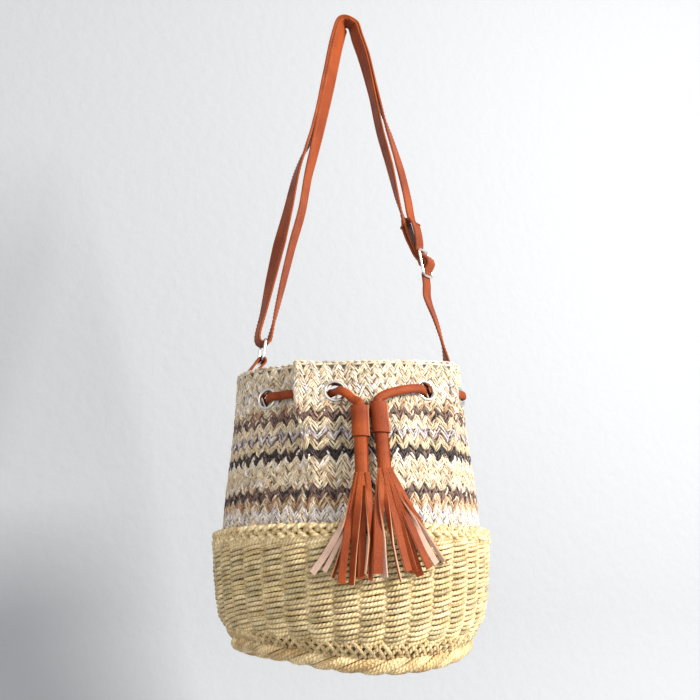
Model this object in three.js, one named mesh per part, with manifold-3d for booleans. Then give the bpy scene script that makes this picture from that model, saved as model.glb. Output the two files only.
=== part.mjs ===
// A straw bucket bag that hangs by its shoulder strap.
// Millimetres, +Z up, front towards -Y. The origin is where the strap rests on whatever holds it up.
// Angles about the bag's upright axis are in degrees, 0 at the front centre and positive towards +X.
import * as THREE from "three";
import { mergeVertices } from "three/addons/utils/BufferGeometryUtils.js";
import Module from "manifold-3d";

// Driving sizes.
const GAP = 0.3; // running gap between pieces
const HOOK_RADIUS = 4; // bend of the strap at the hang point
const LEATHER = 1.8; // thickness of the strap
const STRAP_WIDTH = 15;
const BASKET_RIBS = 36; // upright ribs that the straw is twined over
const BASKET_WALL = 3;
const KNIT_WALL = 3;
const EYELET_Z = -342;
const EYELET = { hole: 6, barrel: 6.7, flange: 8, flangeHeight: 1.2, sides: 10 };
const CORD = { width: 6.6, thickness: 4, sides: 6 };
const CORD_RUN = 4; // how far the cord's middle lies from the middle of the knit between two eyelets

// The strap pulls the bag out of true: lift is how far its sides ride higher than its front and back,
// and tilt how far its right side rides above the middle and its left side below it.
const SADDLE = [
  { z: -537, lift: 8, tilt: 0 },
  { z: -500, lift: 4, tilt: 0 },
  { z: -450, lift: 0, tilt: 0 },
  { z: -434, lift: 0.2, tilt: 0.3 },
  { z: -414, lift: 0.5, tilt: 1.5 },
  { z: -380, lift: 0.7, tilt: 3.5 },
  { z: -342, lift: 1, tilt: 6 },
  { z: -317, lift: 3, tilt: 7 },
];

// The outside of the knit tube from the basket up to the mouth. gather scales the folds of SPANS.
const KNIT_ROWS = [
  { z: -449, halfWidth: 97.2, halfDepth: 97.2, gather: 0 },
  { z: -434, halfWidth: 97.2, halfDepth: 97.2, gather: 0 },
  { z: -414, halfWidth: 96, halfDepth: 94.5, gather: 0.15 },
  { z: -391, halfWidth: 93.5, halfDepth: 90, gather: 0.35 },
  { z: -368, halfWidth: 91, halfDepth: 84, gather: 0.65 },
  { z: -342, halfWidth: 89, halfDepth: 78, gather: 1 },
  { z: -317, halfWidth: 88, halfDepth: 72, gather: 0.9 },
];

// The stretches of knit between neighbouring eyelets, from the front to the back, the same on both sides.
// Where the cord runs inside, the knit bulges out over it, and where it runs outside, the knit dents in.
const SPANS = [
  { from: -22.8, to: 22.8, steps: 6, bulge: 3, lean: 0, cordInside: false },
  { from: 22.8, to: 40, steps: 5, bulge: 7, lean: 5, cordInside: true },
  { from: 40, to: 59, steps: 4, bulge: -3.5, lean: 0, cordInside: false },
  { from: 59, to: 121, steps: 6, bulge: 1.5, lean: 0, cordInside: true },
  { from: 121, to: 140, steps: 4, bulge: -3.5, lean: 0, cordInside: false },
  { from: 140, to: 157.2, steps: 5, bulge: 6, lean: 0, cordInside: true },
  { from: 157.2, to: 202.8, steps: 6, bulge: -2.5, lean: 0, cordInside: false },
];

// The outside of the basket wall, from its floor up.
const BASKET_ROWS = [
  { radius: 84, z: -517 },
  { radius: 92.7, z: -512 },
  { radius: 97.8, z: -504 },
  { radius: 100.5, z: -489 },
  { radius: 102.6, z: -468 },
  { radius: 103.6, z: -450.3 },
];
const BORDER = { inner: 97.6, outer: 105.2, bottom: -450, top: -438 };
const FOOT = { radius: 82, z: -524, half: 6.6 };

// How far in front of the axis the hanging tassels lie, on the flare of the knit and over the border.
const FRONT_ROWS = [
  { z: -520, radius: 106.5 },
  { z: -430, radius: 106.5 },
  { z: -405, radius: 103 },
  { z: -380, radius: 96.5 },
  { z: -350, radius: 86.5 },
];

// Each tassel hangs from a collar, and its strips spread from the stem: tip is where the strip ends.
const TASSELS = [
  {
    side: "left",
    collar: -13.9,
    top: -356,
    strips: [
      { tip: -31.5, end: -473, lift: 0.2, width: 5 },
      { tip: -24.3, end: -476, lift: 0.2, width: 5 },
      { tip: -21.3, end: -478, lift: 2.4, width: 5.5 },
      { tip: -17.8, end: -479, lift: 3.2, width: 5.5 },
      { tip: -15.2, end: -474, lift: 0.4, width: 5 },
      { tip: -12.6, end: -475, lift: 1.8, width: 4.5 },
    ],
  },
  {
    side: "right",
    collar: -5.2,
    top: -353,
    strips: [
      { tip: -8.9, end: -473, lift: 3, width: 6 },
      { tip: -5.6, end: -476, lift: 0.6, width: 5 },
      { tip: -1.7, end: -477, lift: 1.6, width: 4 },
      { tip: 1.4, end: -471, lift: 3, width: 5.5 },
      { tip: 4.6, end: -473, lift: 0.6, width: 5 },
      { tip: 7.6, end: -470, lift: 2.6, width: 5.5 },
      { tip: 11.2, end: -467, lift: 0.6, width: 5.5 },
      { tip: 16.1, end: -467, lift: 1.2, width: 4 },
    ],
  },
];
const COLLAR = { length: 23, halfWidth: 6.3, halfDepth: 5.2, wall: 1.4 };
const STEM_DEPTH = 5; // how far below its collar's top a stem starts
const STEM_LENGTH = 41;
const STRIP_THICKNESS = 1.3;

// The two legs of the strap: inner is the run sewn to the slider, outer the run that passes through it.
// The turns say, in degrees, how far the back edge of each run is twisted towards +X.
const LEFT_LEG = [
  { z: -20, inner: -9.3, outer: -11.8, innerTurn: 50, outerTurn: 49 },
  { z: -60, inner: -17, outer: -19.4, innerTurn: 50, outerTurn: 49 },
  { z: -101, inner: -25.3, outer: -28.8, innerTurn: 45, outerTurn: 36 },
  { z: -129, inner: -31.2, outer: -39.6, innerTurn: 38, outerTurn: 4 },
  { z: -147, inner: -35.2, outer: -45.3, innerTurn: 34, outerTurn: -4 },
  { z: -180, inner: -40.6, outer: -52.2, innerTurn: 32, outerTurn: -16 },
  { z: -210, inner: -48.3, outer: -59, innerTurn: 30, outerTurn: -27 },
  { z: -241, inner: -55.3, outer: -65.6, innerTurn: 26, outerTurn: -18 },
  { z: -268, inner: -61.2, outer: -71, innerTurn: 16, outerTurn: -5 },
];
const RIGHT_LEG = [
  { z: -12, inner: 7.4, outer: 9.9, innerTurn: -8, outerTurn: -6 },
  { z: -29, inner: 13.2, outer: 15.7, innerTurn: -8, outerTurn: -6 },
  { z: -63, inner: 21.4, outer: 25.2, innerTurn: 3, outerTurn: 10 },
  { z: -97, inner: 28, outer: 36, innerTurn: 3, outerTurn: 36 },
  { z: -130, inner: 36.8, outer: 46, innerTurn: 6, outerTurn: 46 },
  { z: -155, inner: 42.4, outer: 51.8, innerTurn: 16, outerTurn: 46 },
  { z: -178, inner: 48.4, outer: 56.2, innerTurn: 34, outerTurn: 45 },
];
const RING = { width: 20.4, height: 19, bar: 2.2, x: -72, z: -301, tilt: 7 };
const SLIDER = { width: 20.4, length: 25, bar: 2.2, thickness: 1.8, x: 67.2, z: -214.2, tilt: 10.4, turn: 45 };
const LEG_LEAN = { from: 9, slope: 0.28 };
const INSIDE = 84; // how far to the side the ends of the strap and the tab are sewn inside the knit
const STRAP_END = -330.3;
const TAB_END = -342;

// Colours and finishes.
const straw = { color: 0xe3d3a4, roughness: 0.85, metalness: 0 };
const knit = { color: 0xe6dccb, roughness: 0.9, metalness: 0 };
const leather = { color: 0xa8542f, roughness: 0.55, metalness: 0 };
const nickel = { color: 0xc9c9cc, roughness: 0.25, metalness: 1 };

const wasm = await Module();
wasm.setup();
const { degToRad, lerp } = THREE.MathUtils;
const bag = new THREE.Group();

/** Adds one named mesh to the bag. */
function addPiece(name, geometry, finish) {
  const mesh = new THREE.Mesh(geometry, new THREE.MeshStandardMaterial(finish));
  mesh.name = name;
  bag.add(mesh);
  return mesh;
}

/** Keeps only the places of a geometry's vertices and joins those that are the same. */
function joined(geometry) {
  geometry.deleteAttribute("normal");
  geometry.deleteAttribute("uv");
  return mergeVertices(geometry, 1e-4);
}

/** Reads a column of a table whose rows are sorted by z, at the height z. */
function column(rows, z, name) {
  const sorted = rows[0].z < rows[rows.length - 1].z ? rows : [...rows].reverse();
  const last = sorted[sorted.length - 1];
  if (z <= sorted[0].z) return sorted[0][name];
  if (z >= last.z) return last[name];
  const above = sorted.findIndex((row) => row.z >= z);
  const low = sorted[above - 1];
  const high = sorted[above];
  return lerp(low[name], high[name], (z - low.z) / (high.z - low.z));
}

/** Turns a profile of radius and z about the upright axis, then moves each vertex by reshape(angle, radius, z). */
function spun(profile, segments, reshape) {
  const points = profile.map((point) => new THREE.Vector2(point.radius, point.z));
  const geometry = joined(new THREE.LatheGeometry(points, segments));
  geometry.rotateX(Math.PI / 2);
  const places = geometry.getAttribute("position");
  for (let i = 0; i < places.count; i++) {
    const [x, y, z] = [places.getX(i), places.getY(i), places.getZ(i)];
    const radius = Math.hypot(x, y);
    const angle = radius < 1e-3 ? 0 : Math.atan2(x, -y);
    places.setXYZ(i, ...reshape(angle, radius, z).toArray());
  }
  return geometry;
}

/** How much higher a place rides than it would on a bag that stood true. */
function ride(angle, z) {
  return column(SADDLE, z, "tilt") * Math.sin(angle) - column(SADDLE, z, "lift") * Math.cos(2 * angle);
}

/** A place on a circle about the axis. A share below 1 lets it ride less high. */
function onCircle(angle, radius, z, share = 1) {
  return new THREE.Vector3(radius * Math.sin(angle), -radius * Math.cos(angle), z + ride(angle, z) * share);
}

/** Joins rows of points, one closed outline each, into a solid with flat ends. */
function lofted(outlines) {
  const sides = outlines[0].length;
  const places = outlines.flat().flatMap((point) => point.toArray());
  const faces = [];
  for (let row = 0; row + 1 < outlines.length; row++) {
    for (let i = 0; i < sides; i++) {
      const a = row * sides + i;
      const b = row * sides + ((i + 1) % sides);
      faces.push(a, b, b + sides, a, b + sides, a + sides);
    }
  }
  const last = (outlines.length - 1) * sides;
  for (let i = 1; i + 1 < sides; i++) faces.push(0, i + 1, i, last, last + i, last + i + 1);
  const geometry = new THREE.BufferGeometry();
  geometry.setAttribute("position", new THREE.Float32BufferAttribute(places, 3));
  geometry.setIndex(faces);
  return geometry;
}

/** Sweeps an outline of [across, through] pairs along points, with its through side held to the normals. */
function swept(points, normals, outlineAt) {
  const outlines = points.map((point, i) => {
    const before = points[Math.max(i - 1, 0)];
    const after = points[Math.min(i + 1, points.length - 1)];
    const along = new THREE.Vector3().subVectors(after, before).normalize();
    const through = normals[i].clone().addScaledVector(along, -normals[i].dot(along)).normalize();
    const across = new THREE.Vector3().crossVectors(along, through);
    return outlineAt(i).map(([a, t]) =>
      point.clone().addScaledVector(across, a).addScaledVector(through, t),
    );
  });
  return lofted(outlines);
}

/** The corners of a flat strip's section, counterclockwise seen along its run. */
function stripSection(width, thickness) {
  const [a, t] = [width / 2, thickness / 2];
  return [[-a, -t], [-a, t], [a, t], [a, -t]];
}

/** The points of an oval section. */
function ovalSection(width, thickness, sides) {
  return Array.from({ length: sides }, (_, i) => {
    const turn = (-2 * Math.PI * (i + 0.5)) / sides;
    return [(Math.cos(turn) * width) / 2, (Math.sin(turn) * thickness) / 2];
  });
}

function toSolid(geometry) {
  return new wasm.Manifold(
    new wasm.Mesh({
      numProp: 3,
      vertProperties: geometry.getAttribute("position").array,
      triVerts: new Uint32Array(geometry.getIndex().array),
    }),
  );
}

function toGeometry(solid) {
  const mesh = solid.getMesh();
  const geometry = new THREE.BufferGeometry();
  geometry.setAttribute("position", new THREE.BufferAttribute(mesh.vertProperties, 3));
  geometry.setIndex(new THREE.BufferAttribute(mesh.triVerts, 1));
  return geometry;
}

// The basket: a bowl whose outside swells over each rib.
function basketGeometry() {
  const ribHeight = 0.8;
  const outside = BASKET_ROWS.map(({ radius, z }) => ({ radius, z }));
  const inside = outside.map(({ radius, z }) => ({ radius: radius - BASKET_WALL, z: z + 0.01 })).reverse();
  inside[inside.length - 1] = { radius: BASKET_ROWS[0].radius - 1, z: BASKET_ROWS[0].z + BASKET_WALL };
  const profile = [{ radius: 0, z: outside[0].z }, ...outside, ...inside];
  profile.push({ radius: 0, z: outside[0].z + BASKET_WALL });
  return spun(profile, 2 * BASKET_RIBS, (angle, radius, z) => {
    const wall = radius - column(BASKET_ROWS, z, "radius");
    const onWall = radius > BASKET_ROWS[0].radius && z < BORDER.bottom - 1 && Math.abs(wall) < 0.5;
    const swell = onWall ? ribHeight * Math.cos(BASKET_RIBS * angle) : 0;
    return onCircle(angle, radius + swell, z, Math.min(1, radius / BASKET_ROWS[0].radius) ** 2);
  });
}

// A rope ring: an oval section with slanting lobes on its outside, as many as the basket has ribs.
function ropeRing(inner, outer, bottom, top, lobe) {
  const middle = { radius: (inner + outer) / 2, z: (bottom + top) / 2 };
  const sides = 6;
  const profile = Array.from({ length: sides + 1 }, (_, i) => {
    const turn = (2 * Math.PI * (i % sides)) / sides - Math.PI / 2;
    return {
      radius: middle.radius + ((outer - inner) / 2) * Math.cos(turn) * 1.08,
      z: middle.z + ((top - bottom) / 2) * Math.sin(turn),
    };
  });
  return spun(profile, 2 * BASKET_RIBS, (angle, radius, z) => {
    const outward = Math.max(0, (radius - middle.radius) / (outer - middle.radius));
    const slant = (z - middle.z) / (top - bottom);
    const swell = outward * lobe * Math.cos(BASKET_RIBS * angle + Math.PI * slant);
    return onCircle(angle, radius + swell, z);
  });
}

/** The stretch of knit between eyelets that holds an angle, and how far along it the angle lies. */
function spanAt(angle) {
  const fromFront = Math.abs(THREE.MathUtils.radToDeg(angle));
  const span = SPANS.find(({ from, to }) => fromFront >= from && fromFront <= to);
  return { span, share: (fromFront - span.from) / (span.to - span.from) };
}

/** A place on the knit: depth is how far inside its outer face it lies, and folds of 0 leaves the folds out. */
function onKnit(angle, z, depth = 0, folds = 1) {
  const [a, b] = [column(KNIT_ROWS, z, "halfWidth"), column(KNIT_ROWS, z, "halfDepth")];
  const [sin, cos] = [Math.sin(angle), Math.cos(angle)];
  const outward = new THREE.Vector3(sin / a, -cos / b, 0).normalize();
  const sideways = new THREE.Vector3(-outward.y, outward.x, 0);
  const { span, share } = spanAt(angle);
  const wave = folds * column(KNIT_ROWS, z, "gather") * Math.sin(Math.PI * share) ** 2;
  return new THREE.Vector3(a * sin, -b * cos, z + ride(angle, z))
    .addScaledVector(outward, wave * span.bulge - depth)
    .addScaledVector(sideways, Math.sign(angle) * wave * span.lean);
}

/** The way that the knit's outer face looks at an eyelet. */
function knitNormal(angle, z) {
  const [turn, rise] = [0.03, 3];
  const around = onKnit(angle + turn, z).sub(onKnit(angle - turn, z));
  const up = onKnit(angle, z + rise).sub(onKnit(angle, z - rise));
  return around.cross(up).normalize();
}

/** The angles that the knit's columns stand at, close together in the narrow folds. */
function knitAngles() {
  const half = [];
  for (const { from, to, steps } of SPANS) {
    for (let i = 0; i < steps; i++) {
      const angle = from + ((to - from) * i) / steps;
      if (angle >= -1e-6 && angle < 180 - 1e-6) half.push(Math.abs(angle));
    }
  }
  const other = half.filter((angle) => angle > 1e-6).map((angle) => 360 - angle).reverse();
  return [...half, 180, ...other].map(degToRad);
}

// The knit tube, with a round hole for each eyelet.
function knitGeometry(eyelets) {
  const angles = knitAngles();
  const nominal = 100; // the spun tube's radius, before it takes the bag's shape
  const rows = KNIT_ROWS.map(({ z }) => z);
  const profile = [
    ...rows.map((z) => ({ radius: nominal, z })),
    ...[...rows].reverse().map((z) => ({ radius: nominal - KNIT_WALL, z })),
    { radius: nominal, z: rows[0] },
  ];
  const tube = spun(profile, angles.length, (angle, radius, z) => {
    const index = Math.round((angle / (2 * Math.PI)) * angles.length);
    const turned = angles[(index + angles.length) % angles.length];
    return onKnit(turned > Math.PI ? turned - 2 * Math.PI : turned, z, nominal - radius);
  });
  const { hole, barrel, flange, flangeHeight, sides } = EYELET;
  const cutter = joined(
    new THREE.LatheGeometry(
      [
        new THREE.Vector2(0, -3 * KNIT_WALL),
        new THREE.Vector2(barrel + GAP, -3 * KNIT_WALL),
        new THREE.Vector2(barrel + GAP, -GAP),
        new THREE.Vector2(flange + GAP, -GAP),
        new THREE.Vector2(flange + GAP, flangeHeight + hole),
        new THREE.Vector2(0, flangeHeight + hole),
      ],
      sides,
    ),
  );
  const holes = eyelets.map(({ mesh }) => toSolid(cutter.clone().applyMatrix4(mesh.matrix)));
  return toGeometry(holes.reduce((solid, cut) => solid.subtract(cut), toSolid(tube)));
}

// An eyelet: a flange that lies on the knit and a barrel that lines its hole.
function eyeletGeometry() {
  const { hole, barrel, flange, flangeHeight, sides } = EYELET;
  const profile = [
    [hole, -KNIT_WALL],
    [barrel, -KNIT_WALL],
    [barrel, 0],
    [flange, 0],
    [(hole + flange) / 2, flangeHeight],
    [hole, -KNIT_WALL],
  ];
  return joined(new THREE.LatheGeometry(profile.map(([r, h]) => new THREE.Vector2(r, h)), sides));
}

/** The angles of all eyelets in the order in which the cord meets them, left round the back to the right. */
function eyeletAngles() {
  const half = SPANS.slice(1).map(({ from }) => from);
  return [...half.map((angle) => -angle), ...[...half].reverse()].map(degToRad);
}

function addEyelets() {
  return eyeletAngles().map((angle, i) => {
    const name = "eyelet_" + String(i + 1).padStart(2, "0");
    const mesh = addPiece(name, eyeletGeometry(), nickel);
    const normal = knitNormal(angle, EYELET_Z);
    mesh.position.copy(onKnit(angle, EYELET_Z));
    mesh.quaternion.setFromUnitVectors(new THREE.Vector3(0, 1, 0), normal);
    mesh.updateMatrix();
    return { angle, normal, mesh };
  });
}

/** The cord's stretch between two eyelets, as distances along the knit with heights off its outer face. */
function cordStretch(start, end) {
  const round = end.angle > start.angle ? end.angle - 2 * Math.PI : end.angle;
  const { span } = spanAt(wrapped((start.angle + round) / 2));
  const sign = span.cordInside ? -1 : 1;
  const middle = -KNIT_WALL / 2;
  const near = [
    { distance: 4, height: 4.7 },
    { distance: 8, height: 6.1 },
  ];
  const length = start.mesh.position.distanceTo(end.mesh.position);
  const steps = Math.max(2, Math.round((length - 16) / 18));
  const stops = near.map(({ distance, height }) => ({ share: distance / length, height }));
  for (let i = 1; i < steps; i++) {
    stops.push({ share: lerp(near[1].distance, length - near[1].distance, i / steps) / length, height: CORD_RUN });
  }
  stops.push(...[...near].reverse().map(({ distance, height }) => ({ share: 1 - distance / length, height })));
  return stops.map(({ share, height }) => {
    const angle = wrapped(lerp(start.angle, round, share));
    return { place: onKnit(angle, EYELET_Z, -(middle + sign * height), 0), normal: knitNormal(angle, EYELET_Z) };
  });
}

/** The same angle between minus and plus half a turn. */
function wrapped(angle) {
  return Math.atan2(Math.sin(angle), Math.cos(angle));
}

// The drawstring, from the left collar through every eyelet to the right collar.
function drawstringGeometry(eyelets) {
  const stops = [];
  eyelets.forEach((eyelet, i) => {
    const place = onKnit(eyelet.angle, EYELET_Z, KNIT_WALL / 2);
    stops.push({ place, normal: eyelet.normal });
    if (i + 1 < eyelets.length) stops.push(...cordStretch(eyelet, eyelets[i + 1]));
  });
  const first = cordTail(eyelets[0], TASSELS[0]).reverse();
  const last = cordTail(eyelets[eyelets.length - 1], TASSELS[1]);
  const all = [...first, ...stops, ...last];
  const section = ovalSection(CORD.width, CORD.thickness, CORD.sides);
  return swept(all.map(({ place }) => place), all.map(({ normal }) => normal), () => section);
}

/** The end of the cord that comes out of a front eyelet and drops into a collar. */
function cordTail(eyelet, tassel) {
  const entry = tasselPlace(tassel.collar, tassel.top);
  const from = eyelet.mesh.position;
  const above = 3.5;
  const rows = [
    { share: 0.16, height: 4.7, drop: 0 },
    { share: 0.34, height: 6.2, drop: 0.12 },
    { share: 0.6, height: 6.6, drop: 0.4 },
    { share: 0.85, height: 7, drop: 0.75 },
  ];
  const target = Math.atan2(entry.x, -entry.y);
  const stops = rows.map(({ share, height, drop }) => {
    const angle = lerp(eyelet.angle, target, share);
    const place = onKnit(angle, EYELET_Z, KNIT_WALL / 2 - height);
    place.z = lerp(from.z, entry.z + above, drop);
    return { place, normal: knitNormal(angle, EYELET_Z) };
  });
  const normal = new THREE.Vector3(entry.x, entry.y, 0).normalize();
  const inside = [above - 1.5, 0, GAP - STEM_DEPTH].map((rise) => {
    return { place: tasselPlace(tassel.collar, tassel.top + rise), normal };
  });
  return [...stops, ...inside];
}

/** A place in front of the bag where a tassel hangs: lift is how far it stands off. */
function tasselPlace(degrees, z, lift = 0) {
  const radius = column(FRONT_ROWS, z, "radius") + lift;
  const angle = degToRad(degrees);
  return new THREE.Vector3(radius * Math.sin(angle), -radius * Math.cos(angle), z);
}

/** An upright sleeve or rod of oval section that follows the bag's front from one height to another. */
function tasselRod(tassel, from, to, width, depth, steps) {
  const heights = Array.from({ length: steps + 1 }, (_, i) => lerp(from, to, i / steps));
  const outward = tasselPlace(tassel.collar, 0).normalize();
  return swept(
    heights.map((z) => tasselPlace(tassel.collar, z)),
    heights.map(() => outward),
    () => ovalSection(width, depth, 10),
  );
}

function addTassel(tassel) {
  const { side, top, strips, collar } = tassel;
  const { length, halfWidth, halfDepth, wall } = COLLAR;
  const sleeve = toSolid(tasselRod(tassel, top, top - length, 2 * halfWidth, 2 * halfDepth, 2));
  const bore = [halfWidth - wall, halfDepth - wall];
  const hollow = toSolid(tasselRod(tassel, top + 1, top - length - 1, 2 * bore[0], 2 * bore[1], 2));
  addPiece("collar_" + side, toGeometry(sleeve.subtract(hollow)), leather);

  const rod = [2 * (bore[0] - GAP), 2 * (bore[1] - GAP)];
  const stemTop = top - STEM_DEPTH;
  let solid = toSolid(tasselRod(tassel, stemTop, stemTop - STEM_LENGTH, ...rod, 3));
  const start = stemTop - STEM_LENGTH + 8;
  for (const strip of strips) {
    const shares = [0, 0.15, 0.4, 0.7, 1];
    const places = shares.map((share) => {
      const spread = share ** 0.8;
      return tasselPlace(lerp(collar, strip.tip, spread), lerp(start, strip.end, share), strip.lift * share);
    });
    const normals = places.map((place) => place.clone().setZ(0).normalize());
    const widths = shares.map((share) => lerp(0.6, 1, Math.min(1, 2 * share)) * strip.width);
    solid = solid.add(toSolid(swept(places, normals, (i) => stripSection(widths[i], STRIP_THICKNESS))));
  }
  addPiece("tassel_" + side, toGeometry(solid), leather);
}

/** A stop of a strap: its place in the XZ plane, and the way that the strap's width points there. */
function stop(x, z, turn = 0) {
  const wide = degToRad(turn);
  return { place: new THREE.Vector3(x, 0, z), wide: new THREE.Vector3(Math.sin(wide), Math.cos(wide), 0) };
}

/** A smooth strip through stops, swept flat with its width held to them. */
function flatStrap(stops, width, thickness) {
  const curve = new THREE.CatmullRomCurve3(stops.map(({ place }) => place), false, "centripetal");
  const steps = Math.round(1.5 * (stops.length - 1));
  const places = curve.getPoints(steps);
  const normals = places.map((_, i) => {
    const at = (i / steps) * (stops.length - 1);
    const from = Math.min(Math.floor(at), stops.length - 2);
    const wide = stops[from].wide.clone().lerp(stops[from + 1].wide, at - from);
    return wide.cross(curve.getTangent(i / steps));
  });
  return swept(places, normals, () => stripSection(width, thickness));
}

/** Stops of an arc from one turn to another, in degrees from straight up and clockwise seen from the front. */
function arc(x, z, radius, from, to, steps, wideFrom = 0, wideTo = 0) {
  return Array.from({ length: steps + 1 }, (_, i) => {
    const turn = degToRad(lerp(from, to, i / steps));
    return stop(x + radius * Math.sin(turn), z + radius * Math.cos(turn), lerp(wideFrom, wideTo, i / steps));
  });
}

/** The slider's axes: out of its plane, across it and up along it. */
function sliderAxes() {
  const [tilt, turn] = [degToRad(SLIDER.tilt), degToRad(SLIDER.turn)];
  const up = new THREE.Vector3(-Math.sin(tilt), 0, Math.cos(tilt));
  const right = new THREE.Vector3(Math.cos(tilt), 0, Math.sin(tilt));
  const out = right.clone().multiplyScalar(Math.cos(turn));
  out.y = -Math.sin(turn);
  return { out, across: new THREE.Vector3().crossVectors(up, out), up };
}

/** A stop given along and off the slider. Above the slider the strap leans over more than the slider does. */
function bySlider([down, off]) {
  const { out, across, up } = sliderAxes();
  const place = new THREE.Vector3(SLIDER.x, 0, SLIDER.z).addScaledVector(up, -down).addScaledVector(out, off);
  place.x -= LEG_LEAN.slope * Math.max(0, -down - LEG_LEAN.from);
  return { place, wide: across };
}

// How the strap lies at the slider: how far down from its middle bar, and how far out from its plane.
const SEWN_END = [[-40, -1.4], [-34, -2.2], [-26, -3.6], [-18, -4.2], [-12.4, -4.2], [-10.4, -4.1]];
const ROUND_BAR = [[-8.2, -3.5], [-5.6, -1.3], [-2.6, 1.4], [0, 2.8], [2, 2], [2.8, 0], [2, -2], [0, -2.8]];
const INNER_RUN = [[-2, -3], [-5, -4.4], [-8.2, -5.9], [-11, -6.3], [-16, -6.3], [-24, -6.3], [-34, -5]];
const OUTER_RUN = [[-34, 4.4], [-26, 3.2], [-18, 0.6], [-12.5, -2.1], [-9.6, -1.9], [-7, 0.3], [-4, 3]];
const OVER_BAR = [[-1.5, 4.7], [1.5, 4.7], [4, 3], [7, 0.3], [9.6, -1.9], [12.5, -2.1], [18, -2.6], [28, -4.4]];

// The strap, from the end sewn round the slider's middle bar to the end inside the bag's mouth.
function strapGeometry() {
  const bend = HOOK_RADIUS + LEATHER / 2;
  const layer = LEATHER + GAP;
  const ringTurn = { x: -71, z: -290.6, radius: 4.7 };
  const inner = (row) => stop(row.inner, row.z, row.innerTurn);
  const outer = (row) => stop(row.outer, row.z, row.outerTurn);
  const stops = [
    ...[...SEWN_END, ...ROUND_BAR, ...INNER_RUN].map(bySlider),
    ...[...RIGHT_LEG].reverse().map(inner),
    ...arc(0, -HOOK_RADIUS, bend, 66, -66, 4, -6, 49),
    ...LEFT_LEG.map(inner),
    ...arc(ringTurn.x, ringTurn.z, ringTurn.radius, 90, 270, 4),
    ...[...LEFT_LEG].reverse().map(outer),
    ...arc(0, -HOOK_RADIUS, bend + layer, -66, 66, 4, 49, -6),
    ...RIGHT_LEG.map(outer),
    ...[...OUTER_RUN, ...OVER_BAR].map(bySlider),
    stop(75.8, -266, 36),
    stop(81.2, -286, 24),
    stop(INSIDE, -302, 4),
    stop(INSIDE, -316),
    stop(INSIDE, STRAP_END),
  ];
  return flatStrap(stops, STRAP_WIDTH, LEATHER);
}

/** A flat frame in the YZ plane with rounded corners and a window for each entry of windows. */
function barFrame(width, height, bar, thickness, windows) {
  const outline = rectangle(0, width, height, 2);
  for (const { rise, size } of windows) {
    outline.holes.push(rectangle(rise, width - 2 * bar, size, 0.6));
  }
  const geometry = new THREE.ExtrudeGeometry(outline, { depth: thickness, bevelEnabled: false, curveSegments: 1 });
  geometry.translate(0, 0, -thickness / 2);
  return joined(geometry.rotateX(Math.PI / 2).rotateZ(Math.PI / 2));
}

/** A rectangle with rounded corners, its middle raised by rise. */
function rectangle(rise, width, height, corner) {
  const [w, h] = [width / 2 - corner, height / 2 - corner];
  const shape = new THREE.Shape();
  shape.absarc(w, rise + h, corner, 0, Math.PI / 2);
  shape.absarc(-w, rise + h, corner, Math.PI / 2, Math.PI);
  shape.absarc(-w, rise - h, corner, Math.PI, 1.5 * Math.PI);
  shape.absarc(w, rise - h, corner, 1.5 * Math.PI, 2 * Math.PI);
  return shape;
}

function addRing() {
  const { width, height, bar, x, z, tilt } = RING;
  const windows = [{ rise: 0, size: height - 2 * bar }];
  const ring = addPiece("strap_ring", barFrame(width, height, bar, bar, windows), nickel);
  ring.position.set(x, 0, z);
  ring.rotation.y = degToRad(tilt);
}

function addSlider() {
  const { width, length, bar, thickness, x, z } = SLIDER;
  const size = (length - 3 * bar) / 2;
  const windows = [-1, 1].map((side) => ({ rise: (side * (size + bar)) / 2, size }));
  const slider = addPiece("strap_slider", barFrame(width, length, bar, thickness, windows), nickel);
  const { out, across, up } = sliderAxes();
  slider.position.set(x, 0, z);
  slider.quaternion.setFromRotationMatrix(new THREE.Matrix4().makeBasis(out, across, up));
}

// The leather loop that holds the ring, sewn flat inside the left of the mouth.
function tabGeometry() {
  const bend = RING.bar * Math.SQRT1_2 + GAP + LEATHER / 2;
  const tilt = degToRad(RING.tilt);
  const reach = RING.height / 2 - RING.bar / 2;
  const bar = { x: RING.x - reach * Math.sin(tilt), z: RING.z - reach * Math.cos(tilt) };
  const layer = LEATHER + GAP;
  const wall = -INSIDE;
  const stops = [
    stop(wall + layer, TAB_END),
    stop(wall + layer, -330),
    stop(wall + layer + 1.4, -322),
    ...arc(bar.x, bar.z, bend, 130, -80, 6),
    stop(wall + 1.6, -319),
    stop(wall, -330),
    stop(wall, TAB_END),
  ];
  return flatStrap(stops, STRAP_WIDTH, LEATHER);
}

addPiece("basket", basketGeometry(), straw);
addPiece("basket_border", ropeRing(BORDER.inner, BORDER.outer, BORDER.bottom, BORDER.top, 0.7), straw);
const { radius, z, half } = FOOT;
addPiece("basket_foot", ropeRing(radius - half, radius + half, z - half, z + half, 0.6), straw);
const eyelets = addEyelets();
addPiece("knit_body", knitGeometry(eyelets), knit);
addPiece("drawstring", drawstringGeometry(eyelets), leather);
TASSELS.forEach(addTassel);
addPiece("strap", strapGeometry(), leather);
addPiece("strap_tab", tabGeometry(), leather);
addRing();
addSlider();

export default bag;
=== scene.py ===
# %% [markdown]
# # A straw bucket bag
# This lesson dresses the plain solids of a bucket bag: a basket twined from paper straw, a knit
# top with eyelets and a drawstring, two leather tassels and an adjustable leather strap.
# The solids come in first, because every piece is placed by their sizes.

import math

import bmesh
import bpy
import numpy as np
from mathutils import Matrix, Vector


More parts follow.
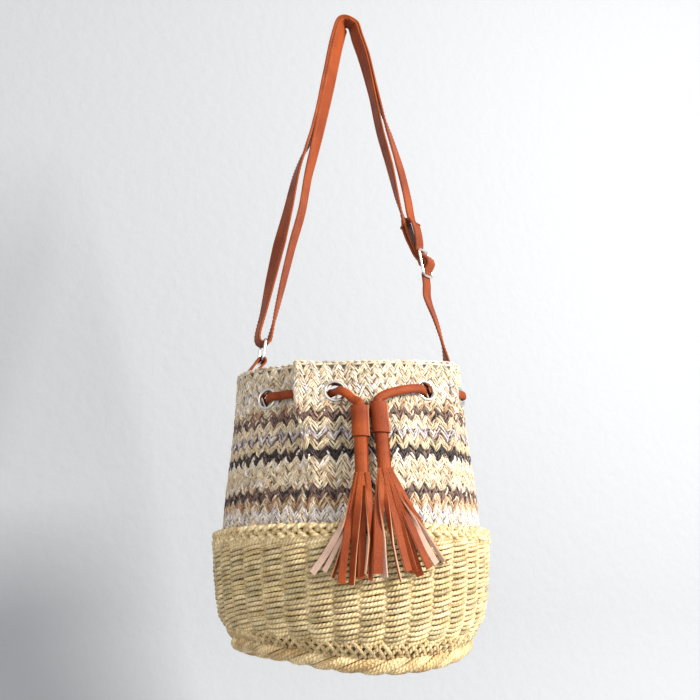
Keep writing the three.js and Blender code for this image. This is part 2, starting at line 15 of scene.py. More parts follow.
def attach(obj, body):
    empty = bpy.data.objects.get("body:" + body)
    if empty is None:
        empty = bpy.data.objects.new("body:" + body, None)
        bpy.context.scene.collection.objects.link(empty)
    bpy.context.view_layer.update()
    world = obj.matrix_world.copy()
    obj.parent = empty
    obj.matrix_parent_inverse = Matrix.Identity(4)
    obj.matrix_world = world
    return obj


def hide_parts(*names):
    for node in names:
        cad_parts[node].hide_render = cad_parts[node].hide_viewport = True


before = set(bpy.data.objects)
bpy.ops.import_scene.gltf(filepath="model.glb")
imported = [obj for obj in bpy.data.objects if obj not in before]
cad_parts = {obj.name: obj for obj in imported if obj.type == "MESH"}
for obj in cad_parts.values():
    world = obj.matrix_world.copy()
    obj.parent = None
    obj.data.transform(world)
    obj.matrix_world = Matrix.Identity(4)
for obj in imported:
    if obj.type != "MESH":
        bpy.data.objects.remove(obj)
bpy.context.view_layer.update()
MM = 0.001
print("solids:", len(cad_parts))

# %% [markdown]
# ## Camera
# The bag hangs above the eye, so the camera looks up at it, from a little to its left.
# A camera is easiest to place by what it looks at: a target, two angles and a distance.

# %% Place the camera
TARGET = Vector((0, 0, -0.2942))
CAMERA_AZIMUTH = math.radians(-18)
CAMERA_ELEVATION = math.radians(-14.5)
CAMERA_DISTANCE = 0.8
CAMERA_ROLL = math.radians(0.36)
lens = bpy.data.cameras.new("camera")
lens.sensor_width = 36
lens.lens = 51.4
camera = bpy.data.objects.new("camera", lens)
bpy.context.collection.objects.link(camera)
away = Vector((
    math.sin(CAMERA_AZIMUTH) * math.cos(CAMERA_ELEVATION),
    -math.cos(CAMERA_AZIMUTH) * math.cos(CAMERA_ELEVATION),
    math.sin(CAMERA_ELEVATION),
))
camera.location = TARGET + CAMERA_DISTANCE * away
turn = away.to_track_quat("Z", "Y").to_matrix().to_4x4()
camera.rotation_euler = (turn @ Matrix.Rotation(-CAMERA_ROLL, 4, "Z")).to_euler()
bpy.context.scene.camera = camera
print("camera at", [round(c, 3) for c in camera.location])

# %% [markdown]
# ## Helpers for nodes and meshes
# Materials and Geometry Nodes are both trees of nodes, so one helper adds a node, sets its
# options, and either links or fills each input. A second helper turns arrays into a mesh.

# %% Add nodes, make meshes
def add_node(tree, kind, links=None, **settings):
    """Adds a node. A socket in links is joined to the input, and anything else fills it."""
    made = tree.nodes.new(kind)
    for name, value in settings.items():
        setattr(made, name, value)
    for name, value in (links or {}).items():
        if isinstance(value, bpy.types.NodeSocket):
            tree.links.new(value, made.inputs[name])
        else:
            made.inputs[name].default_value = value
    return made


def mesh_object(name, places, faces=(), edges=()):
    """An object with its mesh given in millimetres."""
    mesh = bpy.data.meshes.new(name)
    mesh.from_pydata((np.asarray(places, dtype=float) * MM).tolist(), edges, faces)
    made = bpy.data.objects.new(name, mesh)
    bpy.context.collection.objects.link(made)
    return made


def all_round(count):
    """Even angles all the way round, the last one short of the first."""
    return np.linspace(0, 2 * math.pi, count, endpoint=False)


def triangles_of(piece):
    """How many triangles a piece has."""
    return sum(len(face.vertices) - 2 for face in piece.data.polygons)


def finish_piece(piece, slot, *nodes):
    """Hangs a piece on the bag and hides the solids that it stands for; slot, what it is made of, is not
    used.
    """
    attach(piece, "root")
    if nodes:
        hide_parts(*nodes)
    print(piece.name, triangles_of(piece), "triangles")


# %% [markdown]
# ## Helpers for materials
# Every material here is one shader fed by noise, by a pattern or by a tint that its piece
# carries. These short functions start a material and add the steps that come back in most.

# %% Start a material, mix its colours
def new_material(name, roughness, colour=(1, 1, 1)):
    """A material, its node tree and its shader."""
    material = bpy.data.materials.new(name)
    material.use_nodes = True
    shader = material.node_tree.nodes["Principled BSDF"]
    shader.inputs["Roughness"].default_value = roughness
    shader.inputs["Base Color"].default_value = (*colour, 1)
    return material, material.node_tree, shader


def own_places(tree):
    """The place of each point in its own object."""
    return add_node(tree, "ShaderNodeTexCoord").outputs["Object"]


def noise(tree, places, scale, detail):
    """A field of soft noise."""
    made = add_node(tree, "ShaderNodeTexNoise", {"Vector": places, "Scale": scale, "Detail": detail})
    return made.outputs["Fac"]


def spread(tree, value, ends):
    """A value mapped from one range to another."""
    return add_node(tree, "ShaderNodeMapRange", {"Value": value, **ends}).outputs["Result"]


def two_tones(tree, value, dark, light, ends):
    """A colour that goes from dark to light while the value goes from one end to the other."""
    made = add_node(tree, "ShaderNodeValToRGB", {"Fac": value})
    for element, place, colour in zip(made.color_ramp.elements, ends, (dark, light)):
        element.position = place
        element.color = (*colour, 1)
    return made.outputs["Color"]


def paint(tree, shader, colour, shade):
    """Gives the shader a colour times a shade."""
    made = add_node(tree, "ShaderNodeVectorMath", {0: colour}, operation="SCALE")
    tree.links.new(shade, made.inputs["Scale"])
    tree.links.new(made.outputs["Vector"], shader.inputs["Base Color"])


def add_bump(tree, shader, height, strength, distance):
    """Shades the surface as if it rose and fell with the height."""
    made = add_node(
        tree, "ShaderNodeBump", {"Height": height, "Strength": strength, "Distance": distance},
    )
    tree.links.new(made.outputs["Normal"], shader.inputs["Normal"])


# %% [markdown]
# ## Backdrop and light
# The floor and the wall are one sheet that bends up softly behind the bag, pale and slightly
# rough. A strong lamp at the right stands for the sun, and a wide one at the left fills the
# shade. The plain view transform keeps every colour as it is mixed.

# %% Build the backdrop
def plaster():
    """Pale paint with a faint uneven surface."""
    material, tree, shader = new_material("plaster", 0.9, (0.375, 0.40, 0.435))
    add_bump(tree, shader, noise(tree, own_places(tree), 90.0, 4.0), 0.25, 0.004)
    return material


FLOOR_Z = -760
WALL_Y = 330
BEND = 260
profile = [(-2600, FLOOR_Z), (WALL_Y - BEND, FLOOR_Z)]
for step in range(1, 13):
    lean = step / 12 * math.pi / 2
    profile.append((WALL_Y - BEND + BEND * math.sin(lean), FLOOR_Z + BEND * (1 - math.cos(lean))))
profile.append((WALL_Y, 1700))
backdrop_places = [(x, y, z) for x in (-2600, 2600) for y, z in profile]
count = len(profile)
backdrop_faces = [(i, i + count, i + count + 1, i + 1) for i in range(count - 1)]
backdrop = mesh_object("backdrop", backdrop_places, backdrop_faces)
backdrop.data.shade_smooth()
backdrop.data.materials.append(plaster())


# %% Set the lamps
def add_lamp(name, place, aim, size, power, colour):
    """A square lamp that shines from place towards aim."""
    lamp = bpy.data.lights.new(name, "AREA")
    lamp.size = size
    lamp.energy = power
    lamp.color = colour
    made = bpy.data.objects.new(name, lamp)
    made.location = place
    made.rotation_euler = (Vector(place) - Vector(aim)).to_track_quat("Z", "Y").to_euler()
    bpy.context.collection.objects.link(made)


BAG_MIDDLE = (0, 0, -0.42)
add_lamp("sun_side", (0.95, -1.05, 0.2), BAG_MIDDLE, 0.5, 46, (1.0, 0.94, 0.86))
add_lamp("sky_side", (-1.3, -1.5, 0.1), BAG_MIDDLE, 1.8, 12.5, (1.0, 0.94, 0.87))
world = bpy.data.worlds.new("room")
world.use_nodes = True
world.node_tree.nodes["Background"].inputs["Color"].default_value = (1.0, 0.96, 0.92, 1)
world.node_tree.nodes["Background"].inputs["Strength"].default_value = 0.78
bpy.context.scene.world = world
bpy.context.scene.view_settings.view_transform = "Standard"

# %% [markdown]
# ## Strands as Geometry Nodes
# Straw, yarn, braid, rope, thread and wire are all tubes that follow a path. The paths are
# worked out as rows of points, and one node tree gives every path its round section, a UV map
# that runs along the strand, and its material. Each point may carry a thickness and a colour.

# %% Build the strand tree
def strand_tree():
    tree = bpy.data.node_groups.new("strands", "GeometryNodeTree")
    face = tree.interface
    face.new_socket("Geometry", in_out="INPUT", socket_type="NodeSocketGeometry")
    face.new_socket("Radius", in_out="INPUT", socket_type="NodeSocketFloat")
    face.new_socket("Sides", in_out="INPUT", socket_type="NodeSocketInt")
    face.new_socket("Material", in_out="INPUT", socket_type="NodeSocketMaterial")
    face.new_socket("Geometry", in_out="OUTPUT", socket_type="NodeSocketGeometry")
    start = add_node(tree, "NodeGroupInput")
    paths = add_node(tree, "GeometryNodeMeshToCurve", {"Mesh": start.outputs["Geometry"]})
    thickness = add_node(tree, "GeometryNodeInputNamedAttribute", {"Name": "thickness"})
    sized = add_node(
        tree, "GeometryNodeSetCurveRadius",
        {"Curve": paths.outputs["Curve"], "Radius": thickness.outputs["Attribute"]},
    )
    along = add_node(tree, "GeometryNodeSplineParameter")
    held = add_node(tree, "GeometryNodeCaptureAttribute", {"Geometry": sized.outputs["Curve"]})
    held.capture_items.new("FLOAT", "Length")
    tree.links.new(along.outputs["Length"], held.inputs["Length"])
    circle = add_node(
        tree, "GeometryNodeCurvePrimitiveCircle",
        {"Resolution": start.outputs["Sides"], "Radius": start.outputs["Radius"]},
    )
    around = add_node(tree, "GeometryNodeSplineParameter")
    ring = add_node(tree, "GeometryNodeCaptureAttribute", {"Geometry": circle.outputs["Curve"]})
    ring.capture_items.new("FLOAT", "Around")
    tree.links.new(around.outputs["Factor"], ring.inputs["Around"])
    tube = add_node(
        tree, "GeometryNodeCurveToMesh",
        {"Curve": held.outputs["Geometry"], "Profile Curve": ring.outputs["Geometry"], "Fill Caps": True},
    )
    pair = add_node(tree, "ShaderNodeCombineXYZ", {"X": ring.outputs["Around"], "Y": held.outputs["Length"]})
    mapped = add_node(
        tree, "GeometryNodeStoreNamedAttribute",
        {"Geometry": tube.outputs["Mesh"], "Name": "UVMap", "Value": pair.outputs["Vector"]},
        data_type="FLOAT2", domain="CORNER",
    )
    smooth = add_node(tree, "GeometryNodeSetShadeSmooth", {"Geometry": mapped.outputs["Geometry"]})
    dressed = add_node(
        tree, "GeometryNodeSetMaterial",
        {"Geometry": smooth.outputs["Geometry"], "Material": start.outputs["Material"]},
    )
    real = add_node(tree, "GeometryNodeRealizeInstances", {"Geometry": dressed.outputs["Geometry"]})
    end = add_node(tree, "NodeGroupOutput")
    tree.links.new(real.outputs["Geometry"], end.inputs["Geometry"])
    return tree


STRANDS = strand_tree()


# %% Turn a modifier's result into a plain mesh
def settle(piece, tree, **inputs):
    """Runs a node tree on a piece with its named inputs and keeps the result as the mesh."""
    modifier = piece.modifiers.new(tree.name, "NODES")
    modifier.node_group = tree
    for item in tree.interface.items_tree:
        if item.item_type == "SOCKET" and item.in_out == "INPUT" and item.name in inputs:
            modifier[item.identifier] = inputs[item.name]
    seen = piece.evaluated_get(bpy.context.evaluated_depsgraph_get())
    made = bpy.data.meshes.new_from_object(seen, depsgraph=bpy.context.evaluated_depsgraph_get())
    piece.modifiers.clear()
    old = piece.data
    piece.data = made
    bpy.data.meshes.remove(old)
    return piece


# %% [markdown]
# A closed strand has a seam where its pattern starts again. Every strand starts a step further
# round than the one before, so that the seams don't line up.

# %% Make strands
SEAM_STEP = 89


def add_strands(name, paths, radius, material, sides=6, closed=False, colours=None, thickness=None):
    """One piece of many tubes: paths is a list of arrays of places in millimetres."""
    if closed:
        paths = [np.roll(path, SEAM_STEP * i, axis=0) for i, path in enumerate(paths)]
        thickness = thickness and [np.roll(sizes, SEAM_STEP * i) for i, sizes in enumerate(thickness)]
    places = np.concatenate(paths)
    edges = []
    first = 0
    for path in paths:
        last = first + len(path)
        edges += [(i, i + 1) for i in range(first, last - 1)]
        if closed:
            edges.append((last - 1, first))
        first = last
    piece = mesh_object(name, places, edges=edges)
    scale = piece.data.attributes.new("thickness", "FLOAT", "POINT")
    scale.data.foreach_set("value", np.ones(len(places)) if thickness is None else np.concatenate(thickness))
    if colours is not None:
        tint = piece.data.attributes.new("tint", "FLOAT_COLOR", "POINT")
        rows = [np.tile([*colour, 1.0], (len(path), 1)) for colour, path in zip(colours, paths)]
        tint.data.foreach_set("color", np.concatenate(rows).ravel())
    return settle(piece, STRANDS, Radius=radius * MM, Sides=sides, Material=material)


# %% [markdown]
# ## Straw
# The basket's straw is a cord of twisted paper: glossy where it was pressed, with fine creases
# that run slantwise round the strand. The strand's own UV map carries the creases, which are
# painted into the colour: painted shade in their hollows and a painted highlight on their ridges.
# Each strand has its own tint, so that no two rows look alike.

# %% Mix the straw
def strand_paint(name, dark, light, roughness, crease, relief, twist):
    """A strand's finish: its tint, blotches between dark and light, and slanting creases with painted shade
    and painted highlight in the colour.
    """
    material, tree, shader = new_material(name, roughness)
    uv = add_node(tree, "ShaderNodeUVMap", uv_map="UVMap").outputs["UV"]
    slant = add_node(tree, "ShaderNodeMapping", {"Vector": uv, "Scale": (twist, crease, 1.0)})
    parts = add_node(tree, "ShaderNodeSeparateXYZ", {"Vector": slant.outputs["Vector"]}).outputs
    phase = add_node(tree, "ShaderNodeMath", {0: parts["X"], 1: parts["Y"]}, operation="ADD")
    wave = add_node(
        tree, "ShaderNodeMath", {0: phase.outputs[0], 1: 2 * math.pi}, operation="MULTIPLY",
    )
    lines = add_node(tree, "ShaderNodeMath", {0: wave.outputs[0]}, operation="SINE")
    fibre = add_node(tree, "ShaderNodeMapping", {"Vector": uv, "Scale": (9.0, 260.0, 1.0)})
    fine = noise(tree, fibre.outputs["Vector"], 1.0, 3.0)
    rise = add_node(
        tree, "ShaderNodeMath", {0: lines.outputs[0], 1: 0.35, 2: fine}, operation="MULTIPLY_ADD",
    ).outputs[0]
    colours = two_tones(tree, noise(tree, own_places(tree), 130.0, 5.0), dark, light, (0.32, 0.68))
    tint = add_node(tree, "ShaderNodeAttribute", attribute_name="tint").outputs["Color"]
    tinted = add_node(
        tree, "ShaderNodeMix", {0: 1.0, 6: colours, 7: tint}, data_type="RGBA", blend_type="MULTIPLY",
    )
    # The creases paint shade into the colour in their hollows and a highlight on their ridges.
    shade = spread(tree, rise, {"From Min": -0.1, "From Max": 1.0, "To Min": 0.58, "To Max": 1.2})
    paint(tree, shader, tinted.outputs[2], shade)
    add_bump(tree, shader, rise, relief, 0.0006)
    return material


straw = strand_paint("straw", (0.58, 0.42, 0.20), (0.93, 0.76, 0.45), 0.55, crease=380, relief=1.0, twist=2)

# %% [markdown]
# ## The basket's wall
# The wall is twined: upright ribs, and rows of two strands that cross between each two ribs, so
# that one passes in front of a rib while the other passes behind it. Both strands of a row are
# one wave half a turn apart. The wave goes in and out by one sine and up and down by another,
# which gives the slanting bumps and the dark gaps beside each rib.

# %% Sizes of the basket
RIBS = 36
RIB_RADIUS = 1.5
WALL_ROWS = 21
FIRST_ROW = 2.4
ROW_PITCH = 3.55
STRAW_RADIUS = 1.52
WEFT = {"depth": 2.3, "amount": 2.1, "rise": 1.15}
SADDLE = {
    "z": [-537, -500, -450, -434, -414, -380, -342, -317],
    "lift": [8, 4, 0, 0.2, 0.5, 0.7, 1, 3],
    "tilt": [0, 0, 0, 0.3, 1.5, 3.5, 6, 7],
}
WALL = {"radius": [84, 92.7, 97.8, 100.5, 102.6, 103.6], "z": [-517, -512, -504, -489, -468, -450.3]}
BORDER = {"radius": 101.4, "z": -444}
FOOT = {"radius": 82, "z": -524}
chance = np.random.default_rng(11)


def ride(angle, z):
    """How much higher a place rides than on an upright bag: the sides are lifted, the right one most."""
    tilt, lift = np.interp(z, SADDLE["z"], SADDLE["tilt"]), np.interp(z, SADDLE["z"], SADDLE["lift"])
    return tilt * np.sin(angle) - lift * np.cos(2 * angle)


def on_circle(angle, radius, z, share=1.0):
    """Places on a circle about the bag's axis. A share below 1 lets them ride less high."""
    return np.stack([radius * np.sin(angle), -radius * np.cos(angle), z + ride(angle, z) * share], axis=-1)


def wall_at(distance):
    """Radius, height and outward direction of the wall, by the distance along it from the floor."""
    steps = np.hypot(np.diff(WALL["radius"]), np.diff(WALL["z"]))
    marks = np.concatenate([[0], np.cumsum(steps)])
    smooth = np.linspace(-2.5, 2.5, 5)
    radius = np.mean([np.interp(distance + s, marks, WALL["radius"]) for s in smooth])
    z = np.mean([np.interp(distance + s, marks, WALL["z"]) for s in smooth])
    low, high = distance - 2, distance + 2
    run = [np.interp(high, marks, WALL[k]) - np.interp(low, marks, WALL[k]) for k in ("radius", "z")]
    size = math.hypot(*run)
    return radius, z, run[1] / size, -run[0] / size


def ripple(angle, strength):
    """A slow closed wave of chance, as hand work has."""
    return sum(
        strength * chance.normal() / turns * np.cos(turns * angle + chance.uniform(0, 2 * math.pi))
        for turns in (2, 5, 9, 17)
    )


# %% Twine the wall
def twined_row(distance, depth, amount, rise):
    """The two strands of one row of the wall, and how thick they are: squeezed thin where they cross."""
    angle = all_round(RIBS * 8)
    radius, z, out_r, out_z = wall_at(distance)
    strands, sizes = [], []
    for side in (1, -1):
        swing = side * np.cos(RIBS / 2 * angle)
        bump = np.sign(swing) * np.abs(swing) ** 0.7 * amount - depth + ripple(angle, 0.3)
        climb = side * np.sin(RIBS / 2 * angle) * rise + ripple(angle, 0.4)
        across, high = radius + out_r * bump - out_z * climb, z + out_z * bump + out_r * climb
        strands.append(on_circle(angle, across, high))
        sizes.append(0.56 + 0.46 * np.abs(swing) ** 0.6 + 0.07 * ripple(angle, 1.0))
    return strands, sizes


wefts, weft_sizes = [], []
for row in range(WALL_ROWS):
    strands, sizes = twined_row(FIRST_ROW + row * ROW_PITCH, **WEFT)
    wefts += strands
    weft_sizes += sizes
straw_tints = [np.ones(3) * chance.uniform(0.68, 1.1) * [1, 1, chance.uniform(0.9, 1.06)] for _ in wefts]
wall = add_strands(
    "basket_wall", wefts, STRAW_RADIUS, straw,
    sides=8, closed=True, colours=straw_tints, thickness=weft_sizes,
)
finish_piece(wall, "straw", "basket")

# %% [markdown]
# ## Ribs
# The ribs are straight strands that start near the middle of the floor, turn up at its edge and
# end under the border. Every second one starts further out, where the floor has room for it.

# %% Lay the ribs
FLOOR_Z_BAG = -515.3
FLOOR_RIM = 84
LONG_RIBS_FROM = 12
SHORT_RIBS_FROM = 46
RIB_DEPTH = 2.2
RIB_TOP = 71
# The ribs are darkened with painted shade, since they sit back behind the twined strands.
RIB_PAINTED_SHADE = 0.5


def floor_place(angle, radius, rise):
    """A place on the floor, which follows the bag's lifted sides less and less towards its middle."""
    share = np.minimum(1, radius / FLOOR_RIM) ** 2
    return on_circle(angle, radius, np.full_like(angle, FLOOR_Z_BAG) + rise, share)


ribs = []
for k in range(RIBS):
    angle = 2 * math.pi * k / RIBS
    flat = np.linspace(SHORT_RIBS_FROM if k % 2 else LONG_RIBS_FROM, FLOOR_RIM - 2, 8)
    below = floor_place(np.full(8, angle), flat, 0)
    upright = []
    for distance in np.linspace(RIB_RADIUS, RIB_TOP, 12):
        radius, z, out_r, out_z = wall_at(distance)
        radius, z = radius - RIB_DEPTH * out_r, z - RIB_DEPTH * out_z
        upright.append(on_circle(np.array([angle]), radius, z)[0])
    ribs.append(np.concatenate([below, upright]))
ribs_piece = add_strands(
    "basket_ribs", ribs, RIB_RADIUS, straw, sides=6, colours=[np.ones(3) * RIB_PAINTED_SHADE] * RIBS,
)
finish_piece(ribs_piece, "straw")

# %% [markdown]
# ## Floor
# The floor is twined round the ribs like the wall, ring by ring. Towards its middle the strands
# pass over more than one rib at a time, and a short coil closes it.

# %% Twine the floor
THIN_OUT_BELOW = 22
MIDDLE_RADIUS = 8.0
MIDDLE_CROSSINGS = 10
floor_strands = []
radius = MIDDLE_RADIUS
while radius < FLOOR_RIM - 1:
    if radius > SHORT_RIBS_FROM:
        crossings = RIBS
    else:
        crossings = RIBS // 2 if radius > THIN_OUT_BELOW else MIDDLE_CROSSINGS
    angle = all_round(crossings * 6)
    for side in (1, -1):
        swing = side * np.cos(crossings / 2 * angle)
        across = radius + side * np.sin(crossings / 2 * angle) * 0.9 + ripple(angle, 0.2)
        floor_strands.append(floor_place(angle, across, swing * 1.7))
    radius += ROW_PITCH
centre_turn = np.linspace(0, 6 * math.pi, 60)
floor_tints = [np.ones(3) * chance.uniform(0.82, 1.05) for _ in floor_strands]
floor = add_strands(
    "basket_floor", floor_strands, STRAW_RADIUS, straw, closed=True, colours=floor_tints,
)
finish_piece(floor, "straw")
knot = add_strands(
    "floor_middle", [floor_place(centre_turn, np.linspace(0.8, 7, 60), 0)], 1.8, straw,
    colours=[np.ones(3) * 0.95],
)
finish_piece(knot, "straw")

# %% [markdown]
# ## Border and foot
# The border is a flat plait of three thick strands: each one is a figure of eight, drawn out
# round the rim. The foot is a rope, strands wound round a ring. Between it and the wall short
# ends of the ribs are tucked in with a slant, and a few plain strands behind them fill the seam.

# %% Plait the border
border_angle = all_round(540)
BORDER_TURNS = 27
PLAIT = {"high": 3.9, "deep": 1.7, "radius": 2.0}
PLAIT_TONES = (1.0, 0.94, 1.04, 0.9, 0.95)
plait = []
for start in range(3):
    phase = BORDER_TURNS * border_angle + start * 2 * math.pi / 3
    height = BORDER["z"] + PLAIT["high"] * np.sin(phase) + ripple(border_angle, 0.2)
    out = BORDER["radius"] + 0.5 + PLAIT["deep"] * np.sin(2 * phase) + ripple(border_angle, 0.2)
    plait.append(on_circle(border_angle, out, height))
for offset in (-0.9, 0.9):
    under = BORDER["z"] - 4.6 + offset * np.sin(RIBS / 2 * border_angle)
    out = BORDER["radius"] - 0.3 + 2 * offset * np.cos(RIBS / 2 * border_angle)
    plait.append(on_circle(border_angle, out, under))
border = add_strands(
    "basket_border_plait", plait, PLAIT["radius"], straw, sides=8, closed=True,
    colours=[np.ones(3) * tone for tone in PLAIT_TONES],
)
finish_piece(border, "straw", "basket_border")

# %% Wind the foot rope
foot_angle = all_round(480)
FOOT_TURNS = 10
ROPE = {"reach": 5.4, "radius": 1.55, "strands": 4, "apart": 0.42}
BUNDLE_TONES = ((1.0, 0.98, 0.95), (0.86, 0.76, 0.64), (0.97, 0.92, 0.86))
rope, rope_tints = [], []
for bundle, tone in enumerate(BUNDLE_TONES):
    for place in range(ROPE["strands"]):
        beside = place - (ROPE["strands"] - 1) / 2
        phase = FOOT_TURNS * foot_angle + bundle * 2 * math.pi / 3 + beside * ROPE["apart"]
        reach = ROPE["reach"] - 0.9 * abs(beside)
        across = FOOT["radius"] + 1 + reach * np.cos(phase) + ripple(foot_angle, 0.3)
        high = FOOT["z"] + reach * np.sin(phase) + ripple(foot_angle, 0.3)
        rope.append(on_circle(foot_angle, across, high))
        rope_tints.append(np.array(tone) * chance.uniform(0.85, 1.05))
foot = add_strands("basket_foot_rope", rope, ROPE["radius"], straw, sides=7, closed=True, colours=rope_tints)
finish_piece(foot, "straw", "basket_foot")

# %% Tuck the ends in
TUCKS = 5 * RIBS
TUCK_RADIUS = 1.4
TUCK = {
    "slant": np.array([0.0, 0.02, 0.05, 0.08, 0.11]),
    "radius": np.array([90.2, 91.6, 91.2, 89.6, 87.0]),
    "z": np.array([-510.2, -512.4, -514.8, -517.4, -520.0]),
}
tucks = []
for k in range(TUCKS):
    angle = 2 * math.pi * (k + chance.uniform(-0.25, 0.25)) / TUCKS
    slant = TUCK["slant"] * (1 if k % 2 else -1)
    out = TUCK["radius"] + chance.uniform(-0.7, 0.7)
    tucks.append(on_circle(angle + slant, out, TUCK["z"]))
tuck_tints = [np.array([1, 0.96, 0.9]) * chance.uniform(0.72, 1.0) for _ in tucks]
finish_piece(add_strands("basket_tucked_ends", tucks, TUCK_RADIUS, straw, colours=tuck_tints), "straw")
seat_angle = all_round(144)
SEAT = {"radius": 88.6, "z": -511.0, "slope": 0.45, "steps": (0, 2.2, 4.4, 6.6, 8.8)}
seat = [
    on_circle(seat_angle, SEAT["radius"] - SEAT["slope"] * down, SEAT["z"] - down)
    for down in SEAT["steps"]
]
# The strands in the seam are darker: painted shade, since they sit behind the tucked ends.
seat_painted_shade = [np.ones(3) * 0.6] * len(seat)
finish_piece(add_strands("basket_foot_seat", seat, 1.5, straw, closed=True, colours=seat_painted_shade), "straw")

# %% [markdown]
# ## The knit top
# The top is knitted from flat raffia in rows of V stitches. The yarn changes colour every row
# or two, which draws zigzag bands round the bag. The tube is gathered by its drawstring: where
# the cord runs inside, the knit bulges over it, and beside the front eyelets it folds.
# Each leg of each V is made of short strands, so the tube needs a formula for any place on it,
# and a chart that gives each row its yarns.

# %% Shape of the knit
KNIT = {
    "z": [-449, -434, -414, -391, -368, -342, -317],
    "half_width": [97.2, 97.2, 96, 93.5, 91, 89, 88],
    "half_depth": [97.2, 97.2, 94.5, 90, 84, 78, 72],
    "gather": [0, 0, 0.15, 0.35, 0.65, 1, 0.9],
}
SPANS = {
    "start": np.array([-22.8, 22.8, 40, 59, 121, 140, 157.2]),
    "end": np.array([22.8, 40, 59, 121, 140, 157.2, 202.8]),
    "bulge": np.array([3, 8.5, -3.5, 1.5, -3.5, 6, -2.5]),
    "lean": np.array([0, 15, 0, 0, 0, 3, 0]),
}


def column(z, name):
    """A column of the knit's table at the height z, with its corners rounded off."""
    return sum(np.interp(z + shift, KNIT["z"], KNIT[name]) for shift in (-8, -4, 0, 4, 8)) / 5


def on_knit(angle, z, depth=0.0, folds=1.0):
    """Places on the knit tube, depth millimetres inside its outer face."""
    half_width, half_depth = column(z, "half_width"), column(z, "half_depth")
    turned = np.arctan2(np.sin(angle), np.cos(angle))
    from_front = np.abs(np.degrees(turned))
    span = np.clip(np.searchsorted(SPANS["start"], from_front, side="right") - 1, 0, 6)
    share = (from_front - SPANS["start"][span]) / (SPANS["end"] - SPANS["start"])[span]
    wave = folds * column(z, "gather") * np.sin(np.pi * share) ** 2
    outward = np.stack([np.sin(turned) / half_width, -np.cos(turned) / half_depth], axis=-1)
    outward /= np.linalg.norm(outward, axis=-1, keepdims=True)
    sideways = np.stack([-outward[..., 1], outward[..., 0]], axis=-1)
    flat = np.stack([half_width * np.sin(turned), -half_depth * np.cos(turned)], axis=-1)
    flat = flat + outward * (wave * SPANS["bulge"][span] - depth)[..., None]
    flat = flat + sideways * (np.sign(turned) * wave * SPANS["lean"][span])[..., None]
    return np.concatenate([flat, (z + ride(turned, z))[..., None]], axis=-1)


# %% [markdown]
# ### The yarn chart
# The chart names the yarns of each row from the mouth down. A row may have a lower yarn of its
# own, which colours the points of the zigzag, as the dark points above the basket do.

# %% Chart the yarns
YARNS = {
    "cream": (0.84, 0.72, 0.53),
    "white": (0.90, 0.84, 0.80),
    "sand": (0.72, 0.55, 0.36),
    "tan": (0.48, 0.29, 0.17),
    "olive": (0.68, 0.55, 0.35),
    "lilac": (0.56, 0.50, 0.51),
    "mauve": (0.20, 0.12, 0.10),
    "black": (0.030, 0.020, 0.020),
}
CHART = [
    ("cream white sand lilac", "cream sand"),
    ("cream white sand", "cream tan"),
    ("white cream lilac", "cream sand"),
    ("cream white sand lilac", "white cream"),
    ("cream tan sand", "tan sand cream"),
    ("mauve cream tan", "mauve black"),
    ("cream sand", "cream sand"),
    ("lilac white cream", "mauve lilac black"),
    ("olive cream", "olive cream"),
    ("black mauve", "black white"),
    ("cream white", "cream sand"),
    ("cream sand", "cream"),
    ("cream white tan", "sand cream"),
    ("mauve black", "mauve cream"),
    ("tan sand cream", "sand cream"),
    ("white lilac cream", "white cream"),
    ("white cream", "lilac white"),
    ("black mauve", "black"),
]
STITCHES = 60
STITCH_ROW = 7.15
FIRST_ROW_Z = -323.8
print(len(CHART), "rows of", STITCHES, "stitches")


# %% Set out the eyelets
EYELET_Z = -342.0
EYELET_ANGLES = np.radians([-22.8, -40, -59, -121, -140, -157.2, 157.2, 140, 121, 59, 40, 22.8])


def knit_normal(angle, z):
    """The way that the knit looks at one angle and height."""
    at = on_knit(np.array([angle + 0.03, angle - 0.03, angle, angle]), np.array([z, z, z + 3, z - 3]))
    normal = np.cross(at[0] - at[1], at[2] - at[3])
    return normal / np.linalg.norm(normal)


eyelet_middles = on_knit(EYELET_ANGLES, np.full(12, EYELET_Z))
eyelet_normals = np.array([knit_normal(angle, EYELET_Z) for angle in EYELET_ANGLES])
UNDER_THE_FOLD = 1
SUNK = 2.2
eyelet_middles[UNDER_THE_FOLD] -= SUNK * eyelet_normals[UNDER_THE_FOLD]
print("middle of the first eyelet:", eyelet_middles[0].round(1))

# %% [markdown]
# ### Room for the eyelets
# A pressed eyelet pushes the yarn aside. Places of the knit that lie within its ring are moved
# out along their own way from its axis, so that no stitch runs across the hole.

# %% Part the knit round the eyelets
EYELET_REACH = 6


def off_axis(places, middle, normal):
    """How far places lie from an eyelet's axis, the ways out to them, and their height along it."""
    off = places - middle
    height = off @ normal
    flat = off - height[..., None] * normal
    return np.linalg.norm(flat, axis=-1), flat, height


def parted(places, clearance=7.3, spread=0.25):
    """Knit that runs round the eyelets, as it does where they were pressed through it."""
    for middle, normal in zip(eyelet_middles, eyelet_normals):
        distance, flat, height = off_axis(places, middle, normal)
        near = (distance < clearance) & (np.abs(height) < EYELET_REACH)
        grown = (clearance + spread * distance[near]) / np.maximum(distance[near], 0.2)
        places[near] += flat[near] * (grown - 1)[:, None]
    return places


# %% [markdown]
# ### Stitches
# In the folds the tube is longer round than its plain oval, so even steps of angle would draw
# the stitches wide there. They are spaced by length instead. Each leg of a V is then built from
# its six strands, which the chart below sets out.

# %% Space the stitches evenly over the folds
fold_angles = np.linspace(-math.pi, math.pi, 2881)
fold_places = on_knit(fold_angles, np.full(len(fold_angles), EYELET_Z))
fold_marks = np.concatenate([[0], np.cumsum(np.linalg.norm(np.diff(fold_places, axis=0), axis=1))])


